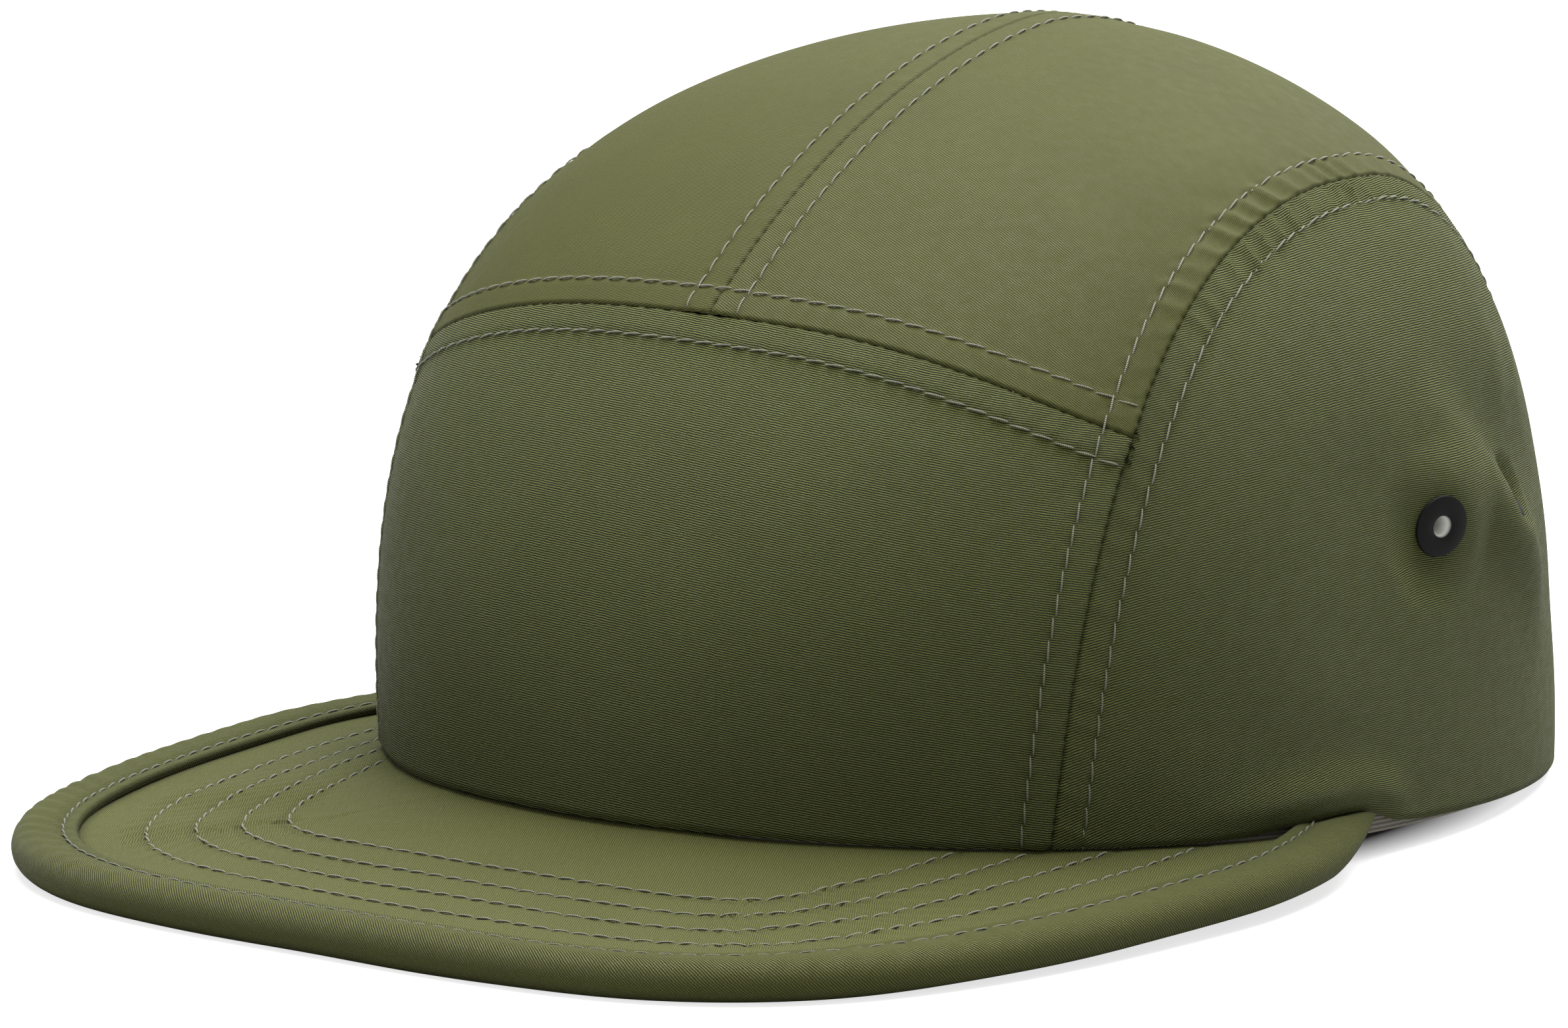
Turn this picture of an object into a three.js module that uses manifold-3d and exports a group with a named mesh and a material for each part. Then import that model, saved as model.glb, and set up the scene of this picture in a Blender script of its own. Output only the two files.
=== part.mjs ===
// A five panel cap: a front panel, two top panels and two side panels over a flat brim
// with a padded edge, a sweatband inside the hem, two eyelets in each side and a strap
// behind an arched opening at the back.
// Millimetres. X runs to the wearer's left, -Y is the front and Z is up.
import * as THREE from 'three';
import Module from 'manifold-3d';

const wasm = await Module();
wasm.setup();

// Crown, measured over its hem
const crownLength = 198;
const crownWidth = 174.4;
const crownHeight = 118.4;
const cloth = 1.6;
const seamGap = 0.4;
const clearance = 0.3;

// How the crown closes towards its top. A rise bends a profile in late when it is high,
// and a round one of 2 ends it like an ellipse. The plan goes from an ellipse to a rounded box.
const frontRise = 2.3;
const frontRound = 1.6;
const backRise = 1.68;
const backRound = 2.06;
const sideRise = 4.3;
const sideRound = 1.74;
const planPower = 2.19;
const planPowerGain = 0.74;
const planPowerBehind = 2.15;
const topShift = 12.1;
const topShiftRate = 2.86;

// A point well inside the crown. Surface points are found along lines from it.
const coreBehindMiddle = 8;
const coreHeight = 35.5;

// Seams between the panels
const frontFoot = 31.5;
const backFoot = 46;
const seamPeakDrop = 20.3;
const seamPeakBehindMiddle = 15;
const frontCornerHeight = 63;
const frontSeamRise = 13.1;
const frontSeamPower = 2.7;
const frontArch = { along: 2.25, up: 2.6 };
const backArch = { along: 2.1, up: 1.55 };

// Brim board, and the padded binding round its edge
const brimReach = 60;
const brimBeyondSides = 11;
const brimSetBack = 93.6;
const brimSide = 0.533;
const brimFront = 0.523;
const brimNarrowing = 0.178;
const brimNarrowFrom = 39;
const rimDrop = 6.8;
const rimSlope = THREE.MathUtils.degToRad(4.6);
const brimCurve = 1.5;
const board = 3;
const boardEnd = 66;
const bindingThickness = 6.8;
const bindingWidth = 10.5;
const bindingLip = 0.4;
const bindingGrip = 3;
const bindingFacet = 0.8;
const bindingShort = 8.6;
const tailLength = 16;
const tailThickness = 3.4;

// The hem is lifted where the ends of the binding pass under it, and pressed flat behind
const hemLift = 3;
const hemLiftAt = 84;
const hemLiftFront = 18;
const hemLiftBack = 8;
const restFlat = 1;

// Sweatband
const bandHeight = 30;
const bandThickness = 1.2;
const bandShow = 1.6;
const bandShowFull = 75;
const bandShowEnd = 150;

// Back opening, strap and clasp
const openingWidth = 72;
const openingHeight = 42;
const openingStraight = 8;
const strapHeight = 20;
const strapThickness = 1.6;
const strapAboveHem = 3.6;
const strapTuck = 18;
const claspLength = 13;
const claspWall = 1.5;
const claspClearance = 0.7;

// Eyelets
const eyeletFlange = 10;
const eyeletBore = 3;
const eyeletBarrel = 4.6;
const eyeletRim = 0.8;
const eyeletCrest = 9.2;
const eyeletMouth = 3.9;
const eyeletWasher = 9;
const eyeletHeight = 46;
const eyeletRise = 2;
const eyeletAt = 104.4;
const eyeletSpacing = 25;

// Soft folds in each side panel: a straight crease from one point to another, as shares of
// the crown's length and height, with its half width and its depth as shares of the height
const folds = [
  { fromAlong: 0.558, fromUp: 0.45, toAlong: 0.735, toUp: 0.305, width: 0.055, depth: 0.008 },
  { fromAlong: 0.586, fromUp: 0.54, toAlong: 0.763, toUp: 0.395, width: 0.075, depth: -0.016 },
];

// Divisions of the faceted surfaces
const frontDivisions = 8;
const sideDivisions = 9;
const overDivisions = 22;
const wallDivisions = 9;
const brimStations = 60;
const boardStations = 52;
const boardRows = 6;
const rollSides = 6;
const bandStations = 72;
const bandRows = 4;
const strapStations = 24;
const strapRows = 3;
const roundSides = 16;
const curveSteps = 240;
const halvings = 42;

const halfLength = crownLength / 2;
const halfWidth = crownWidth / 2;
const core = new THREE.Vector3(0, coreBehindMiddle, coreHeight);
const X = new THREE.Vector3(1, 0, 0);
const Y = new THREE.Vector3(0, 1, 0);
const Z = new THREE.Vector3(0, 0, 1);

const power = (value, exponent) => Math.sign(value) * Math.abs(value) ** exponent;
const bump = (value) => Math.exp(-value * value);

// Crown surface

function planAt(z) {
  const h = THREE.MathUtils.clamp(z / crownHeight, 0, 1);
  return {
    front: halfLength * (1 - h ** frontRise) ** (1 / frontRound),
    back: halfLength * (1 - h ** backRise) ** (1 / backRound),
    side: halfWidth * (1 - h ** sideRise) ** (1 / sideRound),
    shift: topShift * h ** topShiftRate,
    power: planPower + planPowerGain * h,
  };
}

// How far the plan reaches in front of its widest line or behind it, and the power there
function half(plan, sign) {
  return sign < 0 ? { reach: plan.front, power: plan.power } : { reach: plan.back, power: planPowerBehind };
}

function isInside(p) {
  if (p.z >= crownHeight) return false;
  const plan = planAt(p.z);
  const along = p.y - plan.shift;
  const { reach, power: round } = half(plan, along);
  return Math.abs(p.x / plan.side) ** round + Math.abs(along / reach) ** round < 1;
}

// The distance from a point inside the crown to its surface, or from a point outside it
// when the search starts at a negative distance that is inside
function distanceOut(from, direction, near, far) {
  const p = new THREE.Vector3();
  for (let step = 0; step < halvings; step += 1) {
    const middle = (near + far) / 2;
    p.copy(from).addScaledVector(direction, middle);
    if (isInside(p)) near = middle;
    else far = middle;
  }
  return (near + far) / 2;
}

function onCrown(p) {
  const direction = p.clone().sub(core).normalize();
  return core.clone().addScaledVector(direction, distanceOut(core, direction, 0, 2 * crownLength));
}

function crownNormal(p) {
  const small = cloth / 3;
  const out = p.clone().sub(core).normalize();
  const across = new THREE.Vector3().crossVectors(Math.abs(out.z) > Math.SQRT1_2 ? Y : Z, out).normalize();
  const up = new THREE.Vector3().crossVectors(out, across);
  const step = (axis, sign) => onCrown(p.clone().addScaledVector(axis, sign * small));
  const alongAcross = step(across, 1).sub(step(across, -1));
  const alongUp = step(up, 1).sub(step(up, -1));
  return alongAcross.cross(alongUp).normalize();
}

// The point of the crown at a side distance and height, in front of its middle or behind it
function atWidth(x, z, side) {
  const plan = planAt(z);
  const { reach, power: round } = half(plan, side);
  const share = Math.max(1 - Math.abs(x / plan.side) ** round, 0) ** (1 / round);
  return new THREE.Vector3(x, plan.shift + side * reach * share, z);
}

// The point of the crown at a length and height, on the side of the given sign
function atLength(y, z, sign) {
  const plan = planAt(z);
  const along = y - plan.shift;
  const { reach, power: round } = half(plan, along);
  const share = Math.max(1 - Math.abs(along / reach) ** round, 0) ** (1 / round);
  return new THREE.Vector3(sign * plan.side * share, y, z);
}

// Where the cap rests: on the underside of the brim's tip and on the hem behind

function rimHeight(y) {
  return (y + halfLength) * Math.tan(rimSlope) - rimDrop;
}

const tip = { y: -halfLength - brimReach, z: rimHeight(-halfLength - brimReach) - bindingThickness / 2 };
const lean = Math.atan2(restFlat - tip.z, halfLength - tip.y);
const restLine = (y) => tip.z + (y - tip.y) * Math.tan(lean);

function hemLine(y) {
  const past = y + halfLength - hemLiftAt;
  const lift = hemLift * bump(past / (past < 0 ? hemLiftFront : hemLiftBack));
  return Math.max(lift, restLine(y));
}

function bandLine(y) {
  const share = THREE.MathUtils.smoothstep(y, -halfLength + bandShowFull, -halfLength + bandShowEnd);
  return Math.max(-bandShow * (1 - share), restLine(y));
}

function hemPoint(angle) {
  const { reach, power: round } = half(planAt(0), Math.sin(angle));
  const x = halfWidth * power(Math.cos(angle), 2 / round);
  return new THREE.Vector3(x, reach * power(Math.sin(angle), 2 / round), 0);
}

const hemAngleInFront = (y) => Math.asin(power(y / halfLength, planPower / 2));
const hemAngleBehind = (x) => Math.acos(power(x / halfWidth, planPowerBehind / 2));

// Seam curves, for the side of the given sign

// A curve's points at even distances along it
function evenly(curve, from, to, count) {
  const points = [];
  for (let i = 0; i <= curveSteps; i += 1) points.push(curve(from + ((to - from) * i) / curveSteps));
  const lengths = [0];
  for (let i = 1; i <= curveSteps; i += 1) lengths.push(lengths[i - 1] + points[i].distanceTo(points[i - 1]));
  const even = [];
  let at = 0;
  for (let i = 0; i <= count; i += 1) {
    const wanted = (lengths[curveSteps] * i) / count;
    while (at < curveSteps - 1 && lengths[at + 1] < wanted) at += 1;
    const share = (wanted - lengths[at]) / (lengths[at + 1] - lengths[at]);
    even.push(points[at].clone().lerp(points[at + 1], share));
  }
  return even;
}

const seamTop = crownHeight - seamPeakDrop;
const frontFootY = -halfLength + frontFoot;
const backFootY = hemPoint(hemAngleBehind(backFoot)).y;

// The side seam rises from the hem, arches over the side and comes down behind.
// The turn goes from 0 at the front foot to half a turn at the back foot.
function sideSeam(turn, sign) {
  const isFront = turn < Math.PI / 2;
  const arch = isFront ? frontArch : backArch;
  const foot = isFront ? frontFootY : backFootY;
  const share = Math.abs(Math.cos(turn)) ** (2 / arch.along);
  const y = seamPeakBehindMiddle + (foot - seamPeakBehindMiddle) * share;
  return atLength(y, seamTop * Math.sin(turn) ** (2 / arch.up), sign);
}

const turnAtHeight = (arch) => Math.asin((frontCornerHeight / seamTop) ** (arch.up / 2));
const frontCornerTurn = turnAtHeight(frontArch);
const backCornerTurn = Math.PI - turnAtHeight(backArch);
const cornerX = sideSeam(frontCornerTurn, 1).x;

function frontSeam(x) {
  const drop = Math.abs(x / cornerX) ** frontSeamPower;
  return atWidth(x, frontCornerHeight + frontSeamRise * (1 - drop), -1);
}

function centreSeam(count) {
  const front = frontSeam(0).sub(core);
  const back = hemPoint(Math.PI / 2).sub(core);
  const from = Math.atan2(front.z, front.y);
  const to = Math.atan2(back.z, back.y);
  const curve = (angle) => onCrown(core.clone().add(new THREE.Vector3(0, Math.cos(angle), Math.sin(angle))));
  return evenly(curve, from, to, count);
}

const hemRun = (from, to, count) => evenly(hemPoint, from, to, count);
const seamRun = (sign, from, to, count) => evenly((turn) => sideSeam(turn, sign), from, to, count);
const frontFootAngle = hemAngleInFront(frontFootY);
const backFootAngle = hemAngleBehind(backFoot);

// Panels

function foldHeight(p) {
  let height = 0;
  for (const fold of folds) {
    const from = new THREE.Vector2(fold.fromAlong * crownLength - halfLength, fold.fromUp * crownHeight);
    const to = new THREE.Vector2(fold.toAlong * crownLength - halfLength, fold.toUp * crownHeight);
    const run = to.clone().sub(from);
    const here = new THREE.Vector2(p.y, p.z).sub(from);
    const share = THREE.MathUtils.clamp(here.dot(run) / run.lengthSq(), 0, 1);
    const away = here.distanceTo(run.multiplyScalar(share));
    height += fold.depth * crownHeight * bump(away / (fold.width * crownHeight));
  }
  return height;
}

// A grid of points between four edges that meet at their corners, laid onto the crown
function patch(bottom, top, left, right) {
  const columns = bottom.length - 1;
  const rows = left.length - 1;
  const grid = [];
  for (let j = 0; j <= rows; j += 1) {
    const v = j / rows;
    const line = [];
    for (let i = 0; i <= columns; i += 1) {
      const u = i / columns;
      const p = new THREE.Vector3()
        .addScaledVector(bottom[i], 1 - v).addScaledVector(top[i], v)
        .addScaledVector(left[j], 1 - u).addScaledVector(right[j], u)
        .addScaledVector(bottom[0], -(1 - u) * (1 - v)).addScaledVector(bottom[columns], -u * (1 - v))
        .addScaledVector(top[0], -(1 - u) * v).addScaledVector(top[columns], -u * v);
      const isEdge = i === 0 || i === columns || j === 0 || j === rows;
      line.push(isEdge ? p : onCrown(p));
    }
    grid.push(line);
  }
  return grid;
}

// Draws the sewn edges of a grid back from their seams. The hem stays where it is.
function drawBack(grid, sewn) {
  const rows = grid.length - 1;
  const columns = grid[0].length - 1;
  const pull = (p, inward) => p.addScaledVector(inward.clone().sub(p).normalize(), seamGap / 2);
  for (const line of grid) {
    if (sewn.left) pull(line[0], line[1]);
    if (sewn.right) pull(line[columns], line[columns - 1]);
  }
  for (let i = 0; i <= columns; i += 1) {
    if (sewn.bottom) pull(grid[0][i], grid[1][i]);
    if (sewn.top) pull(grid[rows][i], grid[rows - 1][i]);
  }
}

// A closed geometry between two grids of points, the first one outside. A grid that
// closes on itself sideways has no walls at its left and right.
function shellBetween(outer, inner, isLoop) {
  const rows = outer.length;
  const columns = outer[0].length;
  const positions = [];
  for (const p of [outer, inner].flat(2)) positions.push(p.x, p.y, p.z);
  const at = (layer, j, i) => (layer * rows + j) * columns + (i % columns);
  const index = [];
  const quad = (a, b, c, d) => index.push(a, b, c, a, c, d);
  const spans = isLoop ? columns : columns - 1;
  for (let i = 0; i < spans; i += 1) {
    for (let j = 0; j < rows - 1; j += 1) {
      quad(at(0, j, i), at(0, j, i + 1), at(0, j + 1, i + 1), at(0, j + 1, i));
      quad(at(1, j, i), at(1, j + 1, i), at(1, j + 1, i + 1), at(1, j, i + 1));
    }
    quad(at(1, 0, i), at(1, 0, i + 1), at(0, 0, i + 1), at(0, 0, i));
    quad(at(0, rows - 1, i), at(0, rows - 1, i + 1), at(1, rows - 1, i + 1), at(1, rows - 1, i));
  }
  if (!isLoop) {
    const last = columns - 1;
    for (let j = 0; j < rows - 1; j += 1) {
      quad(at(1, j, 0), at(0, j, 0), at(0, j + 1, 0), at(1, j + 1, 0));
      quad(at(0, j, last), at(1, j, last), at(1, j + 1, last), at(0, j + 1, last));
    }
  }
  const geometry = new THREE.BufferGeometry();
  geometry.setAttribute('position', new THREE.Float32BufferAttribute(positions, 3));
  geometry.setIndex(index);
  return geometry;
}

// A panel of cloth from its grid. The line of the grid that lies on the hem is level.
function panelShell(grid, sewn) {
  drawBack(grid, sewn);
  const hemRow = sewn.bottom ? grid.length - 1 : 0;
  const inner = grid.map((line, j) => line.map((p) => {
    const normal = crownNormal(p);
    p.addScaledVector(normal, foldHeight(p));
    if (j === hemRow) {
      normal.z = 0;
      normal.normalize();
      p.z = hemLine(p.y);
    }
    const inside = p.clone().addScaledVector(normal, -cloth);
    if (j === hemRow) inside.z = hemLine(inside.y);
    return inside;
  }));
  return shellBetween(grid, inner, false);
}

function frontPanel() {
  const bottom = hemRun(-Math.PI - frontFootAngle, frontFootAngle, 2 * frontDivisions);
  const top = evenly(frontSeam, -cornerX, cornerX, 2 * frontDivisions);
  const left = seamRun(-1, 0, frontCornerTurn, sideDivisions);
  const right = seamRun(1, 0, frontCornerTurn, sideDivisions);
  return panelShell(patch(bottom, top, left, right), { left: true, right: true, top: true });
}

function sidePanel(sign) {
  const run = (from, to, count) => seamRun(sign, from, to, count);
  const front = run(0, frontCornerTurn, sideDivisions);
  const over = run(frontCornerTurn, backCornerTurn, overDivisions);
  const back = run(Math.PI, backCornerTurn, wallDivisions);
  const hem = hemRun(frontFootAngle, backFootAngle, overDivisions);
  hem.forEach((p) => { p.x *= sign; });
  const sewn = { left: true, right: true, top: true };
  if (sign > 0) return panelShell(patch(hem, over, front, back), sewn);
  return panelShell(patch(hem.reverse(), over.reverse(), back, front), sewn);
}

function topPanel(sign) {
  const count = overDivisions + wallDivisions;
  const over = seamRun(sign, frontCornerTurn, backCornerTurn, overDivisions);
  const down = seamRun(sign, backCornerTurn, Math.PI, wallDivisions);
  const outside = over.concat(down.slice(1));
  const middle = centreSeam(count);
  const front = evenly(frontSeam, 0, sign * cornerX, frontDivisions);
  const back = hemRun(Math.PI / 2, backFootAngle, frontDivisions);
  back.forEach((p) => { p.x *= sign; });
  const sewn = { left: true, right: true, bottom: true };
  if (sign > 0) return panelShell(patch(front, back, middle, outside), sewn);
  return panelShell(patch(front.reverse(), back.reverse(), outside, middle), sewn);
}

// Cuts

function toSolid(geometry) {
  const vertProperties = new Float32Array(geometry.attributes.position.array);
  const triVerts = new Uint32Array(geometry.index.array);
  const mesh = new wasm.Mesh({ numProp: 3, vertProperties, triVerts });
  mesh.merge();
  return new wasm.Manifold(mesh);
}

function toGeometry(solid) {
  const mesh = solid.getMesh();
  const geometry = new THREE.BufferGeometry();
  geometry.setAttribute('position', new THREE.BufferAttribute(mesh.vertProperties, 3));
  geometry.setIndex(new THREE.BufferAttribute(mesh.triVerts, 1));
  return geometry;
}

const cut = (geometry, cutter) => toGeometry(toSolid(geometry).subtract(toSolid(cutter)));

// The arched opening at the back, as a block that runs through the wall
function openingCutter() {
  const foot = openingWidth / 2;
  const shape = new THREE.Shape();
  shape.moveTo(-foot, -crownHeight);
  shape.lineTo(foot, -crownHeight);
  shape.lineTo(foot, openingStraight);
  shape.absellipse(0, openingStraight, foot, openingHeight - openingStraight, 0, Math.PI, false);
  const settings = { depth: crownLength, bevelEnabled: false, curveSegments: roundSides };
  const block = new THREE.ExtrudeGeometry(shape, settings);
  block.rotateX(Math.PI / 2);
  block.translate(0, crownLength + halfLength / 2, 0);
  return plain(block);
}

// A geometry with its positions alone, its like points merged by the solid that takes it
function plain(geometry) {
  const bare = new THREE.BufferGeometry();
  bare.setAttribute('position', geometry.attributes.position);
  const count = geometry.attributes.position.count;
  bare.setIndex(geometry.index ? [...geometry.index.array] : [...Array(count).keys()]);
  return bare;
}

// Eyelets

// Where a line meets the wall of a panel first
function meet(panel, from, direction) {
  return new THREE.Raycaster(from, direction).intersectObject(panel)[0].point;
}

// The seat of an eyelet: its middle on the outer face of a panel, the direction square to the
// cloth there, and how high the outer face and how low the inner one come under its flanges
function eyeletSeat(panel, y, z, sign) {
  const middle = atLength(y, z, sign);
  let normal = crownNormal(middle);
  const across = new THREE.Vector3().crossVectors(Z, normal).normalize();
  const up = new THREE.Vector3().crossVectors(normal, across);
  const radius = eyeletFlange / 2;
  const face = (a, b, side) => {
    const from = middle.clone().addScaledVector(across, a).addScaledVector(up, b);
    from.addScaledVector(normal, side * eyeletFlange);
    return meet(panel, from, normal.clone().multiplyScalar(-side));
  };
  const wide = face(radius, 0, 1).sub(face(-radius, 0, 1));
  const tall = face(0, radius, 1).sub(face(0, -radius, 1));
  const point = face(0, 0, 1);
  normal = wide.cross(tall).normalize();
  const heights = (side) => Array.from({ length: roundSides }, (_, i) => {
    const angle = (2 * Math.PI * i) / roundSides;
    return face(radius * Math.cos(angle), radius * Math.sin(angle), side).sub(point).dot(normal);
  });
  return { point, normal, high: Math.max(0, ...heights(1)), low: Math.min(-cloth, ...heights(-1)) };
}

function eyeletSeats(geometry, sign) {
  const panel = new THREE.Mesh(geometry);
  return ['front', 'rear'].map((name, place) => {
    const y = -halfLength + eyeletAt + place * eyeletSpacing;
    return { name, ...eyeletSeat(panel, y, eyeletHeight + place * eyeletRise, sign) };
  });
}

function eyeletHoleCutter({ point, normal }) {
  const radius = eyeletBarrel / 2 + clearance / Math.cos(Math.PI / roundSides);
  const cutter = new THREE.CylinderGeometry(radius, radius, eyeletFlange, roundSides);
  cutter.applyQuaternion(new THREE.Quaternion().setFromUnitVectors(Y, normal));
  cutter.translate(point.x, point.y, point.z);
  return plain(cutter);
}

function eyelet({ high, low }) {
  const bore = eyeletBore / 2;
  const barrel = eyeletBarrel / 2;
  const flange = eyeletFlange / 2;
  const washer = eyeletWasher / 2;
  const under = high + clearance;
  const over = under + eyeletRim;
  const inside = low - clearance;
  const profile = [
    [bore, inside - eyeletRim], [washer, inside - eyeletRim], [washer, inside],
    [barrel, inside], [barrel, under], [flange, under], [flange, under + eyeletRim / 2],
    [eyeletCrest / 2, over], [eyeletMouth / 2, over],
    [bore, under + eyeletRim / 2], [bore, inside - eyeletRim],
  ];
  return new THREE.LatheGeometry(profile.map(([r, h]) => new THREE.Vector2(r, h)), roundSides);
}

// Brim

const brimEndY = -halfLength + brimSetBack;
const bindingEndY = brimEndY - bindingShort;
const brimLength = brimReach + brimSetBack;

// The middle of the binding's roll. The turn is 0 at the tip.
function rimPoint(turn) {
  const y = brimEndY - brimLength * Math.cos(turn) ** brimFront;
  const narrowAt = -halfLength + brimNarrowFrom;
  const past = Math.max(0, (y - narrowAt) / (brimEndY - narrowAt));
  const widest = halfWidth + brimBeyondSides;
  const x = widest * power(Math.sin(turn), brimSide) * (1 - brimNarrowing * past * past);
  return new THREE.Vector3(x, y, rimHeight(y));
}

const rimTurnAt = (y) => Math.acos(((brimEndY - y) / brimLength) ** (1 / brimFront));

// The stations of the rim, each with the level direction that points out of the brim
function rimRun(endY, count) {
  const turn = rimTurnAt(endY);
  const points = evenly(rimPoint, -turn, turn, count);
  return points.map((point, i) => {
    const before = points[Math.max(i - 1, 0)];
    const after = points[Math.min(i + 1, count)];
    const along = after.clone().sub(before);
    return { point, out: new THREE.Vector3(along.y, -along.x, 0).normalize() };
  });
}

// How far inward of a point the outer face of the hem is, at the level of the hem
function roomToHem(point, out) {
  const level = point.clone().setZ(0);
  return -distanceOut(level, out, -2 * bindingWidth - brimReach, bindingWidth);
}

// The binding's section at a station, as distances out from the roll's middle and up
function bindingSection({ point, out }) {
  const halfRoll = bindingThickness / 2;
  const innerEdge = bindingWidth - halfRoll;
  const lip = halfRoll - bindingLip;
  const slot = board / 2 + clearance;
  const grip = innerEdge - bindingGrip;
  const outline = [];
  for (let side = 0; side <= rollSides; side += 1) {
    const angle = (side / rollSides - 1 / 2) * Math.PI;
    outline.push([halfRoll * Math.cos(angle), halfRoll * Math.sin(angle)]);
  }
  outline.push([bindingFacet - innerEdge, lip], [-innerEdge, lip - bindingFacet]);
  outline.push([-innerEdge, slot], [-grip, slot], [-grip, -slot], [-innerEdge, -slot]);
  outline.push([-innerEdge, bindingFacet - lip], [bindingFacet - innerEdge, -lip]);
  const room = roomToHem(point, out) + cloth;
  const squeeze = (halfRoll + Math.min(innerEdge, room)) / bindingWidth;
  const past = THREE.MathUtils.clamp((point.y - bindingEndY + tailLength) / tailLength, 0, 1);
  const flatten = THREE.MathUtils.lerp(1, tailThickness / bindingThickness, past);
  return outline.map(([a, b]) => [halfRoll - (halfRoll - a) * squeeze, b * flatten]);
}

function brimBinding() {
  const stations = rimRun(bindingEndY, brimStations);
  const rings = stations.map((station) => bindingSection(station).map(([a, b]) => (
    station.point.clone().addScaledVector(station.out, a).addScaledVector(Z, b)
  )));
  const sides = rings[0].length;
  const positions = rings.flat().flatMap((p) => [p.x, p.y, p.z]);
  const index = [];
  for (let s = 0; s < rings.length - 1; s += 1) {
    for (let i = 0; i < sides; i += 1) {
      const a = s * sides + i;
      const b = s * sides + ((i + 1) % sides);
      index.push(a, a + sides, b, b, a + sides, b + sides);
    }
  }
  const outline = bindingSection(stations[0]).map(([a, b]) => new THREE.Vector2(a, b));
  const last = (rings.length - 1) * sides;
  for (const [a, b, c] of THREE.ShapeUtils.triangulateShape(outline, [])) {
    index.push(a, b, c, last + a, last + c, last + b);
  }
  const geometry = new THREE.BufferGeometry();
  geometry.setAttribute('position', new THREE.Float32BufferAttribute(positions, 3));
  geometry.setIndex(index);
  return geometry;
}

// The board runs from under the crown's hem into the slot of the binding
function brimBoard() {
  const slotDepth = bindingWidth - bindingThickness / 2 - bindingGrip + 2 * clearance;
  const middle = new THREE.Vector3(0, -crownLength / 4, 0);
  const underHem = -clearance - board / 2;
  const lines = rimRun(-halfLength + boardEnd, boardStations).map(({ point, out }) => {
    const edge = point.clone().addScaledVector(out, -slotDepth);
    const toEdge = edge.clone().sub(middle).setZ(0).normalize();
    const root = middle.clone().addScaledVector(toEdge, distanceOut(middle, toEdge, 0, crownLength));
    const normal = crownNormal(root).setZ(0).normalize();
    root.addScaledVector(normal, -cloth).setZ(underHem);
    const line = [];
    for (let row = 0; row <= boardRows; row += 1) {
      const t = row / boardRows;
      const p = root.clone().lerp(edge, t);
      p.z = THREE.MathUtils.lerp(underHem, edge.z, 1 - (1 - t) ** brimCurve);
      line.push(p);
    }
    return line;
  });
  const above = [];
  const below = [];
  for (let row = 0; row <= boardRows; row += 1) {
    above.push(lines.map((line) => line[row].clone().addScaledVector(Z, board / 2)));
    below.push(lines.map((line) => line[row].clone().addScaledVector(Z, -board / 2)));
  }
  return shellBetween(below, above, false);
}

// Sweatband and strap

// A wall inside the crown: runs along the hem between two lines at even steps, between two depths
function liner(points, lowLine, highLine, depth, thickness, rows, isLoop) {
  const layers = [depth, depth + thickness].map((inward) => {
    const grid = [];
    for (let row = 0; row <= rows; row += 1) {
      grid.push(points.map((p) => {
        const level = THREE.MathUtils.lerp(lowLine(p.y), highLine(p.y), row / rows);
        const face = onCrown(p.clone().setZ(Math.max(level, 0)));
        const normal = crownNormal(face);
        if (row === 0) normal.setZ(0).normalize();
        const place = face.addScaledVector(normal, -inward);
        if (row === 0) place.z = lowLine(place.y);
        return place;
      }));
    }
    return grid;
  });
  return shellBetween(layers[0], layers[1], isLoop);
}

function sweatband(opening) {
  const points = hemRun(-Math.PI, Math.PI, bandStations).slice(0, bandStations);
  const band = liner(points, bandLine, () => bandHeight, cloth + clearance, bandThickness, bandRows, true);
  return cut(band, opening);
}

const strapDepth = cloth + clearance + bandThickness + clearance;

function backStrap() {
  const end = hemAngleBehind(openingWidth / 2 + strapTuck);
  const points = hemRun(end, Math.PI - end, strapStations);
  const low = (y) => hemLine(y) + strapAboveHem;
  return liner(points, low, (y) => low(y) + strapHeight, strapDepth, strapThickness, strapRows, false);
}

// The clasp is one closed frame with the strap through it
function strapClasp() {
  const low = hemLine(halfLength) + strapAboveHem;
  const face = onCrown(new THREE.Vector3(0, halfLength, low + strapHeight / 2));
  const normal = crownNormal(face);
  const slotHeight = strapHeight + 2 * claspClearance;
  const slotDepth = strapThickness + 2 * claspClearance;
  const frame = rectangle(slotHeight + 2 * claspWall, slotDepth + 2 * claspWall, THREE.Shape);
  frame.holes.push(rectangle(slotHeight, slotDepth, THREE.Path));
  const geometry = new THREE.ExtrudeGeometry(frame, { depth: claspLength, bevelEnabled: false });
  geometry.translate(0, 0, -claspLength / 2);
  const up = new THREE.Vector3().crossVectors(X, normal).normalize();
  geometry.applyMatrix4(new THREE.Matrix4().makeBasis(up, normal, X.clone().negate()));
  const centre = face.addScaledVector(normal, -strapDepth - strapThickness / 2);
  geometry.translate(centre.x, centre.y, centre.z);
  return geometry;
}

function rectangle(height, depth, Kind) {
  const outline = new Kind();
  outline.moveTo(-height / 2, -depth / 2);
  outline.lineTo(height / 2, -depth / 2);
  outline.lineTo(height / 2, depth / 2);
  outline.lineTo(-height / 2, depth / 2);
  outline.closePath();
  return outline;
}

// Materials

function finish(color, roughness, metalness) {
  return new THREE.MeshStandardMaterial({ color, roughness, metalness });
}

const olive = () => finish(0x5a6040, 0.75, 0);
const bandTwill = () => finish(0x8c887c, 0.9, 0);
const strapWeb = () => finish(0x4f5438, 0.85, 0);
const blackMetal = () => finish(0x1a1a19, 0.6, 0.4);
const blackPlastic = () => finish(0x1c1c1b, 0.5, 0);

// Assembly

const cap = new THREE.Group();
cap.rotation.x = -lean;

function place(name, geometry, material) {
  const mesh = new THREE.Mesh(geometry, material);
  mesh.name = name;
  cap.add(mesh);
  return mesh;
}

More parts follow.
